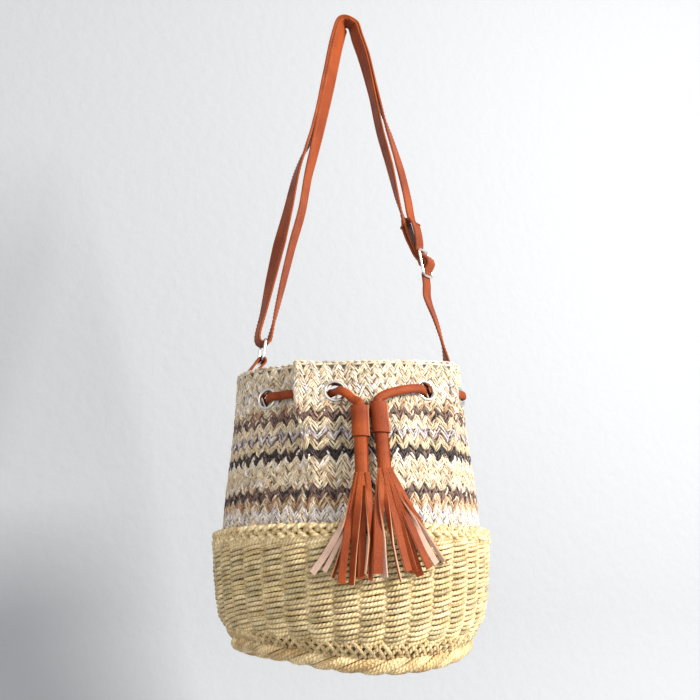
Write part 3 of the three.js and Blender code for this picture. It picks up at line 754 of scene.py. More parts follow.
def evened(angle, z):
    """Turns even angles into ones that keep stitches equally wide where the knit is folded."""
    turned = np.arctan2(np.sin(angle), np.cos(angle))
    by_length = np.interp((turned + math.pi) / (2 * math.pi) * fold_marks[-1], fold_marks, fold_angles)
    return turned + (by_length - turned) * column(z, "gather")


# %% Knit the rows
YARN_RADIUS = 0.78
# Each strand's start along its leg, its length and how far beside the leg's middle it lies.
LEG_STRANDS = (
    (0.02, 0.62, -0.30), (0.42, 0.66, -0.34), (0.0, 0.6, 0.02),
    (0.40, 0.68, 0.0), (0.1, 0.6, 0.32), (0.5, 0.62, 0.30),
)


def stitch_strand(angle, z, side, start, length, shift):
    """A strand of one leg of a V: it starts part of the way up and lies beside the leg's middle."""
    t = start + length * np.array([0.0, 0.3, 0.7, 1.0]) * chance.uniform(0.85, 1.15)
    bow = np.array([0.0, 1.0, 1.0, 0.0])
    across = angle + side * math.pi / STITCHES * (1.04 * t + 0.5 * shift + chance.uniform(-0.1, 0.1) * bow)
    lean = chance.uniform(-0.6, 0.6) * np.array([-1.0, -0.3, 0.3, 1.0])
    rise = z - STITCH_ROW * 0.66 + t * STITCH_ROW * 1.22 - shift * STITCH_ROW * 0.62 + lean
    depth = 2.0 - 1.5 * bow + chance.uniform(-0.45, 0.45)
    return on_knit(evened(across, rise), rise, depth)


yarn_paths = {"low": [], "high": []}
yarn_tints = {"low": [], "high": []}
for row, (upper, lower) in enumerate(CHART):
    part = "high" if row < len(CHART) // 2 else "low"
    upper_yarns, lower_yarns = upper.split(), lower.split()
    for stitch in range(STITCHES):
        angle = 2 * math.pi * (stitch + chance.uniform(-0.08, 0.08)) / STITCHES
        z = FIRST_ROW_Z - row * STITCH_ROW + chance.uniform(-0.5, 0.5)
        for side in (-1, 1):
            for start, length, shift in LEG_STRANDS:
                names = lower_yarns if shift > 0.2 else upper_yarns
                yarn = YARNS[names[min(int(chance.exponential(0.85)), len(names) - 1)]]
                yarn_paths[part].append(stitch_strand(angle, z, side, start, length, shift))
                yarn_tints[part].append(np.array(yarn) * chance.uniform(0.6, 1.16))

raffia = strand_paint("raffia", (0.84, 0.82, 0.80), (1.0, 1.0, 1.0), 0.6, crease=120, relief=0.45, twist=3)
for part, place in (("high", "knit_upper_rows"), ("low", "knit_lower_rows")):
    paths = list(parted(np.array(yarn_paths[part])))
    sizes = [np.array([0.7, 1.0, 1.0, 0.7]) * chance.uniform(0.85, 1.15) for _ in paths]
    knitted = add_strands(
        place, paths, YARN_RADIUS, raffia, sides=4, colours=yarn_tints[part], thickness=sizes,
    )
    finish_piece(knitted, "knit", "knit_body")

# %% [markdown]
# ### The tube behind the stitches
# Between the stitches and on the inside one sees the back of the knit. A thin closed tube stands
# for it. It is a grid of places from the same formula, with an outer and an inner skin. The cells
# before each eyelet are left open, and its material draws rows of small loops from the UV map.

# %% Line the knit
def loops_paint():
    """The inside of the knit: rows of small loops in the same bands of yarn, with painted shade between the
    loops.
    """
    material, tree, shader = new_material("knit_back", 0.8)
    uv = add_node(tree, "ShaderNodeUVMap", uv_map="UVMap").outputs["UV"]
    loops = add_node(tree, "ShaderNodeMapping", {"Vector": uv, "Scale": (STITCHES, len(CHART), 1.0)})
    shape = {"Scale": 0.5, "Distortion": 5.0, "Detail": 2.0, "Detail Scale": 1.5}
    wave = add_node(
        tree, "ShaderNodeTexWave", {"Vector": loops.outputs["Vector"], **shape}, bands_direction="Y",
    ).outputs["Fac"]
    tint = add_node(tree, "ShaderNodeAttribute", attribute_name="tint").outputs["Color"]
    # Painted shade darkens the colour between the loops.
    paint(tree, shader, tint, spread(tree, wave, {"To Min": 0.55, "To Max": 1.0}))
    add_bump(tree, shader, wave, 0.8, 0.0012)
    return material


HOLE_RADIUS = 6.8
# The back of the knit is darkened with painted shade, since it lies in the gaps between the stitches.
BACK_PAINTED_SHADE = 0.36
TUBE_COLUMNS = 288
tube_z = np.linspace(-449, -318, 41)
tube_angle = all_round(TUBE_COLUMNS)
skins = np.array([on_knit(*np.meshgrid(tube_angle, tube_z), depth=depth) for depth in (1.7, 2.9)])
corners = [skins[0], np.roll(skins[0], -1, axis=1)]
cell_middles = sum(corner[:-1] + corner[1:] for corner in corners) / 4
opened = np.zeros(cell_middles.shape[:2], bool)
for middle, normal in zip(eyelet_middles, eyelet_normals):
    distance, _, height = off_axis(cell_middles, middle, normal)
    opened |= (distance < HOLE_RADIUS - 0.3) & (np.abs(height) < EYELET_REACH)
parted(skins, HOLE_RADIUS, 0)
tube_faces, tube_uvs = [], []


def add_tube_face(marks):
    """A face of the lining through places marked by skin, row and column."""
    tube_faces.append([(skin * len(tube_z) + i) * TUBE_COLUMNS + j % TUBE_COLUMNS for skin, i, j in marks])
    for _, i, j in marks:
        tube_uvs.extend([j / TUBE_COLUMNS, i / (len(tube_z) - 1)])


# %% [markdown]
# ### The holes in the tube
# Every cell that isn't open gets a face in each skin. Where its neighbour is open, or where the
# tube ends, a third face joins the two skins, so the tube is closed all over.

# %% Join the two skins
for i, j in np.argwhere(~opened):
    loop = [(i, j), (i, j + 1), (i + 1, j + 1), (i + 1, j)]
    add_tube_face([(0, *mark) for mark in loop])
    add_tube_face([(1, *mark) for mark in reversed(loop)])
    beside = [(i - 1, j), (i, (j + 1) % TUBE_COLUMNS), (i + 1, j), (i, j - 1)]
    for side, (row, column_of) in enumerate(beside):
        if row < 0 or row == len(tube_z) - 1 or opened[row, column_of]:
            first, second = loop[side], loop[(side + 1) % 4]
            add_tube_face([(0, *second), (0, *first), (1, *first), (1, *second)])
lining = mesh_object("knit_lining", skins.reshape(-1, 3), tube_faces)
lining.data.shade_smooth()
tints = lining.data.attributes.new("tint", "FLOAT_COLOR", "POINT")
tube_rows = np.concatenate([tube_z, tube_z])
row_of = np.clip(((FIRST_ROW_Z - tube_rows) / STITCH_ROW + 0.5).astype(int), 0, len(CHART) - 1)
row_tints = [np.array([*np.array(YARNS[CHART[r][0].split()[0]]) * BACK_PAINTED_SHADE, 1]) for r in row_of]
tints.data.foreach_set("color", np.repeat(row_tints, TUBE_COLUMNS, axis=0).ravel())
uv_layer = lining.data.uv_layers.new(name="UVMap")
uv_layer.data.foreach_set("uv", tube_uvs)
lining.data.materials.append(loops_paint())


def turned_out(piece):
    """Turns every face outwards."""
    work = bmesh.new()
    work.from_mesh(piece.data)
    bmesh.ops.recalc_face_normals(work, faces=work.faces)
    work.to_mesh(piece.data)
    work.free()


turned_out(lining)
finish_piece(lining, "knit")

# %% Bind off the mouth
RIM_Z = -318.6
RIM_LINKS = 104
RIM_LINK_RADIUS = 0.9
RIM_CORE_RADIUS = 1.25
RIM_YARNS = ("cream", "white", "sand", "tan", "lilac")
links, link_tints = [], []
for link in range(RIM_LINKS):
    for side in (-1, 1):
        t = np.array([-0.15, 0.3, 0.75, 1.2]) + chance.uniform(-0.12, 0.12)
        rise = RIM_Z + side * 1.1 * np.array([0.7, 1.0, 0.5, -0.1]) + chance.uniform(-0.5, 0.4)
        depth = np.array([2.2, 0.2, 0.5, 2.0]) + chance.uniform(-0.3, 0.3)
        links.append(on_knit(evened(2 * math.pi * (link + t) / RIM_LINKS, rise), rise, depth))
        yarn = YARNS[RIM_YARNS[min(int(chance.exponential(1.1)), len(RIM_YARNS) - 1)]]
        link_tints.append(np.array(yarn) * chance.uniform(0.7, 1.08))
finish_piece(add_strands("knit_rim", links, RIM_LINK_RADIUS, raffia, sides=6, colours=link_tints), "knit")
rim_angle = all_round(300)
core = on_knit(rim_angle, np.full_like(rim_angle, RIM_Z - 0.3), 2.0)
finish_piece(
    add_strands(
        "knit_rim_core", [core], RIM_CORE_RADIUS, raffia, sides=8, closed=True,
        colours=[np.array(YARNS["tan"])],
    ),
    "knit",
)

# %% [markdown]
# ## Leather
# The straps and tassels are cut from a soft sheet: pebbled and orange-brown on its face, pale
# suede on its back, and bare at its cut edges. One function mixes them all from noise: the
# grain is a field of small cells, and wear shows as lighter patches.

# %% Mix the leather, its back and its edge
def hide(name, base, worn, roughness, grain, relief):
    """A leather surface: small cells as grain, slow patches between base and worn colour."""
    material, tree, shader = new_material(name, roughness)
    shader.inputs["Specular IOR Level"].default_value = 0.2
    place = own_places(tree)
    cells = add_node(tree, "ShaderNodeTexVoronoi", {"Vector": place, "Scale": grain}).outputs["Distance"]
    colours = two_tones(tree, noise(tree, place, 45.0, 3.0), base, worn, (0.35, 0.7))
    paint(tree, shader, colours, spread(tree, cells, {"From Max": 0.7, "To Min": 1.06, "To Max": 0.84}))
    fine = noise(tree, place, grain * 2, 4.0)
    height = add_node(tree, "ShaderNodeMath", {0: cells, 1: -1.0, 2: fine}, operation="MULTIPLY_ADD")
    add_bump(tree, shader, height.outputs[0], relief, 0.0004)
    return material


leather = hide("leather_face", (0.19, 0.028, 0.004), (0.32, 0.060, 0.007), 0.5, grain=1100, relief=0.6)
suede = hide("leather_back", (0.56, 0.37, 0.29), (0.70, 0.50, 0.40), 0.95, grain=1700, relief=0.6)
cut_edge = hide("leather_edge", (0.50, 0.22, 0.11), (0.66, 0.38, 0.24), 0.85, grain=1500, relief=0.3)
sealed_edge = hide(
    "leather_sealed_edge", (0.22, 0.045, 0.010), (0.34, 0.080, 0.016), 0.7, grain=1500, relief=0.3,
)
thread = strand_paint(
    "thread", (0.30, 0.09, 0.035), (0.44, 0.15, 0.06), 0.6, crease=1500, relief=0.6, twist=3,
)


# %% Sweep a section along a path
def unit(vectors):
    """Vectors made one long."""
    return vectors / np.linalg.norm(vectors, axis=-1, keepdims=True)


def section_axes(places, faces_to):
    """The ways across a path and out of it, the second as near to faces_to as can be."""
    along = unit(np.gradient(places, axis=0))
    out = unit(faces_to - along * np.sum(along * faces_to, axis=1, keepdims=True))
    return np.cross(along, out), out


def swept_rings(places, faces_to, outline):
    """Sections of any outline of across and through pairs along places."""
    axes = zip(places, *section_axes(places, faces_to))
    return np.array([[p + a * u + f * v for u, v in outline] for p, a, f in axes])


def swept_mesh(name, parts, materials, slot_of=lambda side: 0, end_slot=0, sharp=50):
    """One piece of several swept solids: slot_of gives a face's material by its side."""
    places, faces, slots = [], [], []
    for rings in parts:
        first = len(places)
        count, sides = rings.shape[:2]
        places += list(rings.reshape(-1, 3))
        for i in range(count - 1):
            for j in range(sides):
                a, b = first + i * sides + j, first + i * sides + (j + 1) % sides
                faces.append((a, b, b + sides, a + sides))
                slots.append(slot_of(j))
        faces.append(tuple(first + j for j in reversed(range(sides))))
        faces.append(tuple(first + (count - 1) * sides + j for j in range(sides)))
        slots += [end_slot] * 2
    piece = mesh_object(name, places, faces)
    for material in materials:
        piece.data.materials.append(material)
    piece.data.polygons.foreach_set("material_index", slots)
    piece.data.shade_smooth()
    turned_out(piece)
    piece.data.set_sharp_from_angle(angle=math.radians(sharp))
    return piece


# %% Sweep a ribbon of leather
BEVEL_SHARE = 0.28
RIBBON_SLOTS = (2, 0, 0, 0, 2, 1, 1, 1)


def ribbon_rings(places, faces_to, widths, thickness):
    """Sections of eight corners along places, with the broad face turned to faces_to."""
    t, bevel = thickness / 2, BEVEL_SHARE * thickness
    rings = []
    for place, a, f, width in zip(places, *section_axes(places, faces_to), widths):
        h = width / 2
        corners = [
            (h, bevel - t), (h, t - bevel), (h - bevel, t), (bevel - h, t),
            (-h, t - bevel), (-h, bevel - t), (bevel - h, -t), (h - bevel, -t),
        ]
        rings.append([place + a * u + f * v for u, v in corners])
    return np.array(rings)


def ribbon_mesh(name, strips, materials):
    """One piece of several ribbons: the face, back and edge of each get their own material."""
    return swept_mesh(name, strips, materials, lambda side: RIBBON_SLOTS[side], 2, 36)


# %% [markdown]
# ## Nickel eyelets
# Each eyelet is a pressed ring: a barrel through the knit and a rolled lip over it. The section
# of one is turned into a ring, and Geometry Nodes sets a copy at each of twelve points, turned
# to the way that the knit looks there.

# %% Polish the metal
def polished_metal(name, colour, roughness):
    """Plated metal with faint rubbing marks."""
    material, tree, shader = new_material(name, roughness, colour)
    shader.inputs["Metallic"].default_value = 1
    marks = noise(tree, own_places(tree), 700.0, 4.0)
    rubbed = spread(tree, marks, {"To Min": roughness * 0.7, "To Max": roughness * 1.5})
    tree.links.new(rubbed, shader.inputs["Roughness"])
    return material


nickel = polished_metal("nickel", (0.72, 0.71, 0.70), 0.16)

# %% [markdown]
# ### One ring, twelve copies
# The tree below takes one shape and points that carry the way they look, and sets a turned copy
# at each. A copy made so needs no object of its own, and all twelve settle into one mesh.

# %% Build the copies tree
def copies_tree():
    """Sets one shape at every point, turned so that its Z looks along the point's normal."""
    tree = bpy.data.node_groups.new("copies", "GeometryNodeTree")
    face = tree.interface
    face.new_socket("Geometry", in_out="INPUT", socket_type="NodeSocketGeometry")
    face.new_socket("Shape", in_out="INPUT", socket_type="NodeSocketObject")
    face.new_socket("Material", in_out="INPUT", socket_type="NodeSocketMaterial")
    face.new_socket("Geometry", in_out="OUTPUT", socket_type="NodeSocketGeometry")
    start = add_node(tree, "NodeGroupInput")
    looks = add_node(tree, "GeometryNodeInputNamedAttribute", {"Name": "looks"}, data_type="FLOAT_VECTOR")
    turned = add_node(
        tree, "FunctionNodeAlignRotationToVector", {"Vector": looks.outputs["Attribute"]}, axis="Z",
    )
    shape = add_node(tree, "GeometryNodeObjectInfo", {"Object": start.outputs["Shape"]})
    points = add_node(tree, "GeometryNodeMeshToPoints", {"Mesh": start.outputs["Geometry"]})
    placed = add_node(
        tree, "GeometryNodeInstanceOnPoints",
        {
            "Points": points.outputs["Points"],
            "Instance": shape.outputs["Geometry"],
            "Rotation": turned.outputs["Rotation"],
        },
    )
    real = add_node(tree, "GeometryNodeRealizeInstances", {"Geometry": placed.outputs["Instances"]})
    dressed = add_node(
        tree, "GeometryNodeSetMaterial",
        {"Geometry": real.outputs["Geometry"], "Material": start.outputs["Material"]},
    )
    end = add_node(tree, "NodeGroupOutput")
    tree.links.new(dressed.outputs["Geometry"], end.inputs["Geometry"])
    return tree


# %% Set the eyelets
def turned_ring(name, section, sides):
    """A ring about Z from a closed section of radius and height pairs."""
    places, faces = [], []
    count = len(section)
    for k in range(sides):
        turn = 2 * math.pi * k / sides
        places += [(r * math.cos(turn), r * math.sin(turn), h) for r, h in section]
        for i in range(count):
            n = (i + 1) % count
            other = (k + 1) % sides
            faces.append((k * count + i, other * count + i, other * count + n, k * count + n))
    ring = mesh_object(name, places, faces)
    turned_out(ring)
    ring.data.shade_smooth()
    return ring


EYELET_SECTION = [
    (6.05, -3.2), (6.0, -0.5), (6.05, 0.6), (6.35, 1.3), (6.85, 1.75), (7.4, 1.8), (7.9, 1.5),
    (8.25, 0.9), (8.3, 0.4), (8.1, 0.2), (7.3, 0.5), (6.7, 0.2), (6.55, -1.0), (6.6, -3.2),
]
pattern = turned_ring("eyelet_pattern", EYELET_SECTION, 40)
eyelets = mesh_object("eyelets", eyelet_middles)
looks = eyelets.data.attributes.new("looks", "FLOAT_VECTOR", "POINT")
looks.data.foreach_set("vector", eyelet_normals.ravel())
settle(eyelets, copies_tree(), Shape=pattern, Material=nickel)
bpy.data.objects.remove(pattern)
eyelets.data.shade_smooth()
finish_piece(eyelets, "nickel", *["eyelet_%02d" % (i + 1) for i in range(12)])

# %% [markdown]
# ## Drawstring
# The cord is a narrow strip of leather folded shut, so it is oval and has a seam along one edge.
# It goes in and out of all twelve eyelets. Its path is a short list of stops, a few for each
# stretch, and a smooth curve through them. The bag holds it all the way, so it doesn't hang.

# %% Smooth a path through its stops
def smooth_path(stops, spacing):
    """A curve through the stops, with places about spacing apart."""
    stops = np.asarray(stops, dtype=float)
    gaps = np.linalg.norm(np.diff(stops, axis=0), axis=1)
    marks = np.concatenate([[0], np.cumsum(np.sqrt(gaps))])
    slopes = np.empty_like(stops)
    rates = np.diff(stops, axis=0) / np.diff(marks)[:, None]
    wide = (stops[2:] - stops[:-2]) / (marks[2:] - marks[:-2])[:, None]
    slopes[1:-1] = rates[:-1] - wide + rates[1:]
    slopes[0], slopes[-1] = rates[0], rates[-1]
    places = []
    for i, gap in enumerate(gaps):
        t = np.linspace(0, 1, max(2, int(gap / spacing) + 1), endpoint=False)[:, None]
        span = marks[i + 1] - marks[i]
        places.append(
            (2 * t**3 - 3 * t**2 + 1) * stops[i] + (t**3 - 2 * t**2 + t) * span * slopes[i]
            + (3 * t**2 - 2 * t**3) * stops[i + 1] + (t**3 - t**2) * span * slopes[i + 1]
        )
    return np.concatenate([*places, stops[-1:]])


def follow(places, stops, values):
    """Values given at some stops of a path, carried over to all its places."""
    nearest = np.array([np.argmin(np.linalg.norm(places - stop, axis=1)) for stop in stops])
    nearest = np.maximum.accumulate(nearest)
    columns = np.asarray(values).T
    return np.stack([np.interp(np.arange(len(places)), nearest, each) for each in columns], axis=1)


# %% Set out the tassels' places
KNIT_WALL = 3.0
FRONT = {"z": [-520, -430, -405, -380, -350], "radius": [106.5, 106.5, 103, 96.5, 86.5]}
TASSELS = {"left": {"collar": -13.9, "top": -357.2}, "right": {"collar": -5.2, "top": -354.2}}


def in_front(degrees, z, lift=0.0):
    """A place in front of the bag, lift millimetres off it."""
    angle = np.radians(degrees)
    radius = sum(np.interp(z + s, FRONT["z"], FRONT["radius"]) for s in (-6, 0, 6)) / 3 + lift
    return np.stack([radius * np.sin(angle), -radius * np.cos(angle), z + 0 * angle], axis=-1)


# %% Set out the cord's stops
CORD_INSIDE = (False, True, False, True, False, True, False)


def cord_stretch(start, end):
    """Stops between two neighbouring eyelets, inside or outside the knit."""
    if end > start:
        end -= 2 * math.pi
    middle = abs(math.degrees(math.atan2(math.sin((start + end) / 2), math.cos((start + end) / 2))))
    inside = CORD_INSIDE[int(np.searchsorted(SPANS["start"], middle, side="right")) - 1]
    ends = on_knit(np.array([start, end]), np.full(2, EYELET_Z))
    length = np.linalg.norm(ends[1] - ends[0])
    runs = max(2, round((length - 16) / 18))
    stops = [(4 / length, 4.7), (8 / length, 6.1)]
    stops += [((8 + (length - 16) * i / runs) / length, 4.2) for i in range(1, runs)]
    stops += [(1 - 8 / length, 6.1), (1 - 4 / length, 4.7)]
    angles = np.array([start + (end - start) * share for share, _ in stops])
    depths = KNIT_WALL / 2 + np.array([height for _, height in stops]) * (1 if inside else -1)
    places = np.array([on_knit(np.array([a]), np.array([EYELET_Z]), d, 0)[0] for a, d in zip(angles, depths)])
    return places, np.array([knit_normal(a, EYELET_Z) for a in angles])


def cord_tail(eyelet, collar, top):
    """Stops from a front eyelet over to a collar, and down into it."""
    target = math.radians(collar)
    places, normals = [], []
    for share, height, drop in ((0.16, 4.9, 0), (0.34, 6.4, 0.1), (0.6, 7.0, 0.36), (0.85, 7.4, 0.75)):
        angle = eyelet + (target - eyelet) * share
        place = on_knit(np.array([angle]), np.array([EYELET_Z]), KNIT_WALL / 2 - height)[0]
        start_z = on_knit(np.array([eyelet]), np.array([EYELET_Z]))[0][2]
        place[2] = start_z + (top + 3.5 - start_z) * drop
        places.append(place)
        normals.append(knit_normal(angle, EYELET_Z))
    for rise in (2, 0, -4.6):
        place = in_front(collar, top + rise)
        places.append(place)
        normals.append(place * [1, 1, 0] / np.linalg.norm(place[:2]))
    return np.array(places), np.array(normals)


# %% Join the stops
stops, looks_to = [], []
for i, angle in enumerate(EYELET_ANGLES):
    stops.append(on_knit(np.array([angle]), np.array([EYELET_Z]), KNIT_WALL / 2))
    looks_to.append(eyelet_normals[i][None])
    if i < 11:
        places, normals = cord_stretch(angle, EYELET_ANGLES[i + 1])
        stops.append(places)
        looks_to.append(normals)
tails = [
    cord_tail(EYELET_ANGLES[i], TASSELS[side]["collar"], TASSELS[side]["top"])
    for i, side in ((0, "left"), (11, "right"))
]
cord_stops = np.concatenate([tails[0][0][::-1], *stops, tails[1][0]])
cord_looks = np.concatenate([tails[0][1][::-1], *looks_to, tails[1][1]])
cord_path = smooth_path(cord_stops, 1.4)
cord_faces = follow(cord_path, cord_stops, cord_looks)
print("drawstring length in mm:", round(float(np.linalg.norm(np.diff(cord_path, axis=0), axis=1).sum())))

# %% [markdown]
# ### The folded strip
# The cord's section is a flattened oval with a notch at one side, which is the seam where the
# folded strip closes. It is carried along the path with its flat side towards the knit.

# %% Thread the drawstring
CORD_SIDES = 14
cord_outline = []
for k in range(CORD_SIDES):
    bend = -2 * math.pi * k / CORD_SIDES
    wide = math.cos(bend)
    cord_outline.append((3.3 * math.copysign(abs(wide) ** 0.8, wide), 2.0 * math.sin(bend)))
cord_outline[0] = (2.5, 0.0)
cord = swept_mesh("drawstring_cord", [swept_rings(cord_path, cord_faces, cord_outline)], [leather])
finish_piece(cord, "leather", "drawstring")

# %% [markdown]
# ## Collars
# Each collar is a short strip wound once round the cord and sewn, so its section is a flat
# spiral: it ends in a lap at one side. A wall swept round that spiral is a loft like any other.

# %% Wind the collars
COLLAR = {"length": 23, "half_width": 6.3, "half_depth": 5.2}


def spiral_rings(tassel, top, bottom, half_width, half_depth, wall, lap, levels, flare=0.0):
    """A sleeve whose wall laps over itself at the right."""
    count = 40
    turns = np.linspace(0.06, 2 * math.pi + 0.35, count)
    rings = []
    for i in range(levels + 1):
        share = i / levels
        z = top + (bottom - top) * share
        middle = in_front(tassel["collar"], z)
        out = middle * [1, 1, 0] / np.linalg.norm(middle[:2])
        side = np.array([-out[1], out[0], 0])
        grown = 1 + flare * (2 * share - 1) ** 2
        outer, inner = [], []
        for turn in turns:
            step = lap * (turn / (2 * math.pi))
            u, v = (abs(t) ** 0.85 * math.copysign(1, t) for t in (math.cos(turn), math.sin(turn)))
            wide, deep = half_width * grown - lap + step, half_depth * grown - lap + step
            outer.append(middle + side * u * wide + out * v * deep)
            inner.append(middle + side * u * (wide - wall) + out * v * (deep - wall))
        rings.append(outer + inner[::-1])
    return np.array(rings)


for side_name, tassel in TASSELS.items():
    rings = spiral_rings(
        tassel, tassel["top"], tassel["top"] - COLLAR["length"], COLLAR["half_width"] + 0.2,
        COLLAR["half_depth"] + 0.2, 1.2, 0.9, 8, flare=0.03,
    )
    half = rings.shape[1] // 2
    collar = swept_mesh(
        "collar_" + side_name + "_leather", [rings], [leather, suede, cut_edge],
        lambda side: 0 if side < half - 1 else 1 if half <= side < 2 * half - 1 else 2,
    )
    finish_piece(collar, "leather", "collar_" + side_name)

# %% [markdown]
# ## Tassels
# A tassel is a sheet of leather that was cut into strips and rolled up, so its strips are as
# thick as the sheet, show the face on one side and suede on the other, and twist as they fall.
# The chart below gives each strip in the photo its path: the angle where it leaves the roll, a
# belly, its tip, how far it stands off the bag, its width and how far it is turned at its end.

# %% Chart the strips
STRIP_COLUMNS = ("root", "belly", "tip", "end", "lift", "width", "turn")
STRIPS = {
    "left": [
        (-15.8, -17.4, -32.0, -472, 0.4, 4.6, 175),
        (-15.6, -17.0, -27.5, -471, 0.3, 3.6, 160),
        (-15.5, -18.0, -24.6, -475, 0.9, 4.0, 70),
        (-15.6, -19.6, -21.4, -479, 3.4, 5.2, 12),
        (-14.3, -16.6, -18.0, -480, 4.4, 5.0, -38),
        (-14.8, -15.9, -16.2, -475, 1.2, 5.4, 20),
        (-13.0, -14.4, -14.6, -476, 2.4, 5.0, 8),
        (-12.2, -11.0, -13.4, -473, 4.6, 4.8, 96),
        (-12.0, -10.4, -11.4, -477, 1.4, 4.2, 40),
    ],
    "right": [
        (-6.8, -8.9, -9.2, -473, 4.6, 6.6, 4),
        (-6.6, -8.2, -6.4, -475, 2.6, 5.0, 140),
        (-6.2, -5.8, -0.4, -478, 2.0, 3.6, -100),
        (-5.4, -2.6, 2.0, -471, 3.2, 5.6, 14),
        (-4.6, -1.4, 4.8, -472, 0.7, 5.0, -32),
        (-4.2, 0.2, 7.0, -474, 2.2, 5.2, -28),
        (-3.8, 1.2, 9.6, -469, 4.0, 5.6, 10),
        (-3.6, 2.0, 13.6, -466, 2.6, 4.6, 172),
        (-3.4, 3.0, 16.6, -464, 1.8, 3.0, 110),
        (-3.3, 3.6, 19.0, -465, 1.2, 3.6, 64),
    ],
}


# %% Cut and hang the strips
STEM = {"below_top": 5, "length": 53}
STRIP_START = 9
STRIP_DROP = 2.6


def strip_rings(strip, start_z, drop):
    """One strip: it leaves the roll flat, falls in a curve and turns about its own middle."""
    share = np.linspace(0, 1, 22)
    rest = 1 - share
    degrees = rest**2 * strip["root"] + 2 * share * rest * strip["belly"] + share**2 * strip["tip"]
    z = start_z + (strip["end"] - start_z) * share
    sway = np.sin(4.5 * share + strip["tip"])
    lift = drop * rest**3 + strip["lift"] * np.minimum(1, 1.6 * share) + sway
    places = in_front(degrees, z, np.maximum(lift, 0.2))
    out = places * [1, 1, 0]
    out /= np.linalg.norm(out, axis=1, keepdims=True)
    side = np.stack([-out[:, 1], out[:, 0], 0 * share], axis=1)
    lean = np.radians(strip["turn"]) * np.clip((share - 0.12) / 0.55, 0, 1) ** 1.3
    faces_to = out * np.cos(lean)[:, None] + side * np.sin(lean)[:, None]
    widths = strip["width"] * (0.72 + 0.28 * np.minimum(1, 3 * share))
    return ribbon_rings(places, faces_to, widths, 1.3)


for side_name, tassel in TASSELS.items():
    stem_top = tassel["top"] - STEM["below_top"]
    stem_end = stem_top - STEM["length"]
    rolled = spiral_rings(tassel, stem_top, stem_end, 4.95, 3.9, 1.2, 0.7, 10)
    core = swept_rings(
        np.array([in_front(tassel["collar"], z) for z in np.linspace(stem_top - 0.6, stem_end + 1, 6)]),
        np.array([in_front(tassel["collar"], -400.0) * [1, 1, 0]] * 6),
        [(3.9 * math.cos(-t), 2.9 * math.sin(-t)) for t in all_round(16)],
    )
    stem = swept_mesh("tassel_" + side_name + "_stem", [rolled, core], [leather])
    charted = [dict(zip(STRIP_COLUMNS, row)) for row in STRIPS[side_name]]
    strips = [strip_rings(strip, stem_end + STRIP_START, STRIP_DROP) for strip in charted]
    fringe = ribbon_mesh("tassel_" + side_name + "_strips", strips, [leather, suede, cut_edge])
    finish_piece(stem, "leather", "tassel_" + side_name)
    finish_piece(fringe, "leather", "tassel_" + side_name)

# %% [markdown]
# ## Shoulder strap
# One long strip does it all: it is sewn round the slider's middle bar, goes up and over, down
# to the ring, back up and over again, through the slider and down to the knit. Its path is a
# list of places seen from the front, and the ribbon stands across it.

# %% Chart the strap's legs
STRAP_WIDTH = 15.0
STRAP_THICKNESS = 1.8
HOOK_RADIUS = 4.0
LAYER = STRAP_THICKNESS + 0.3
SLIDER = {"x": 67.2, "z": -214.2, "tilt": -10.4, "turn": 45.0, "width": 20.4, "length": 25.0, "bar": 2.2}
LEG_LEAN = {"from": 9.0, "slope": 0.28}
RING = {"x": -72.0, "z": -301.0, "tilt": 7.0, "turn": 0.0, "width": 20.4, "height": 19.0, "bar": 2.2}
INSIDE = 84.0
STRAP_END = -330.3
TAB_END = -342.0
LEFT_INNER = [
    (-9.3, -20, 50), (-17, -60, 50), (-25.3, -101, 45), (-31.2, -129, 38), (-35.2, -147, 34),
    (-40.6, -180, 32), (-48.3, -210, 30), (-55.3, -241, 26), (-61.2, -268, 16),
]
LEFT_OUTER = [
    (-71, -268, -5), (-65.6, -241, -18), (-59, -210, -27), (-52.2, -180, -16), (-45.3, -147, -4),
    (-39.6, -129, 4), (-28.8, -101, 36), (-19.4, -60, 49), (-11.8, -20, 49),
]
RIGHT_INNER = [
    (48.4, -178, 34), (42.4, -155, 16), (36.8, -130, 6), (28, -97, 3),
    (21.4, -63, 3), (13.2, -29, -8), (7.4, -12, -8),
]
RIGHT_OUTER = [
    (9.9, -12, -6), (15.7, -29, -6), (25.2, -63, 10), (36, -97, 36),
    (46, -130, 46), (51.8, -155, 46), (56.2, -178, 45),
]
print("stops on the legs:", len(LEFT_INNER + LEFT_OUTER + RIGHT_INNER + RIGHT_OUTER))

# %% [markdown]
# ### Stops of three kinds
# The legs are rows of x, z and the turn of the ribbon in degrees. Bends round the hook and the
# ring are arcs. Stops at the slider are given from its middle bar, because it stands tilted.

# %% Turn rows and arcs into stops
def front_arc(x, z, radius, first, last, steps, turns=(0, 0)):
    """Stops of an arc, in degrees from straight up and clockwise seen from the front."""
    angles = np.radians(np.linspace(first, last, steps + 1))
    twist = np.linspace(*turns, steps + 1)
    return [(x + radius * math.sin(t), z + radius * math.cos(t), turn) for t, turn in zip(angles, twist)]


def stops_of(rows):
    """Places in the strap's plane and the ways its width points, from rows of x, z and turn."""
    table = np.array(rows, dtype=float)
    wide = np.radians(table[:, 2])
    return (
        np.stack([table[:, 0], 0 * wide, table[:, 1]], axis=1),
        np.stack([np.sin(wide), np.cos(wide), 0 * wide], axis=1),
    )


def fitting_axes(fitting):
    """The ways out of a fitting's plane, across it and up along it."""
    tilt, turn = math.radians(fitting["tilt"]), math.radians(fitting["turn"])
    up = np.array([math.sin(tilt), 0, math.cos(tilt)])
    out = np.array([math.cos(tilt) * math.cos(turn), -math.sin(turn), -math.sin(tilt) * math.cos(turn)])
    return out, np.cross(up, out), up


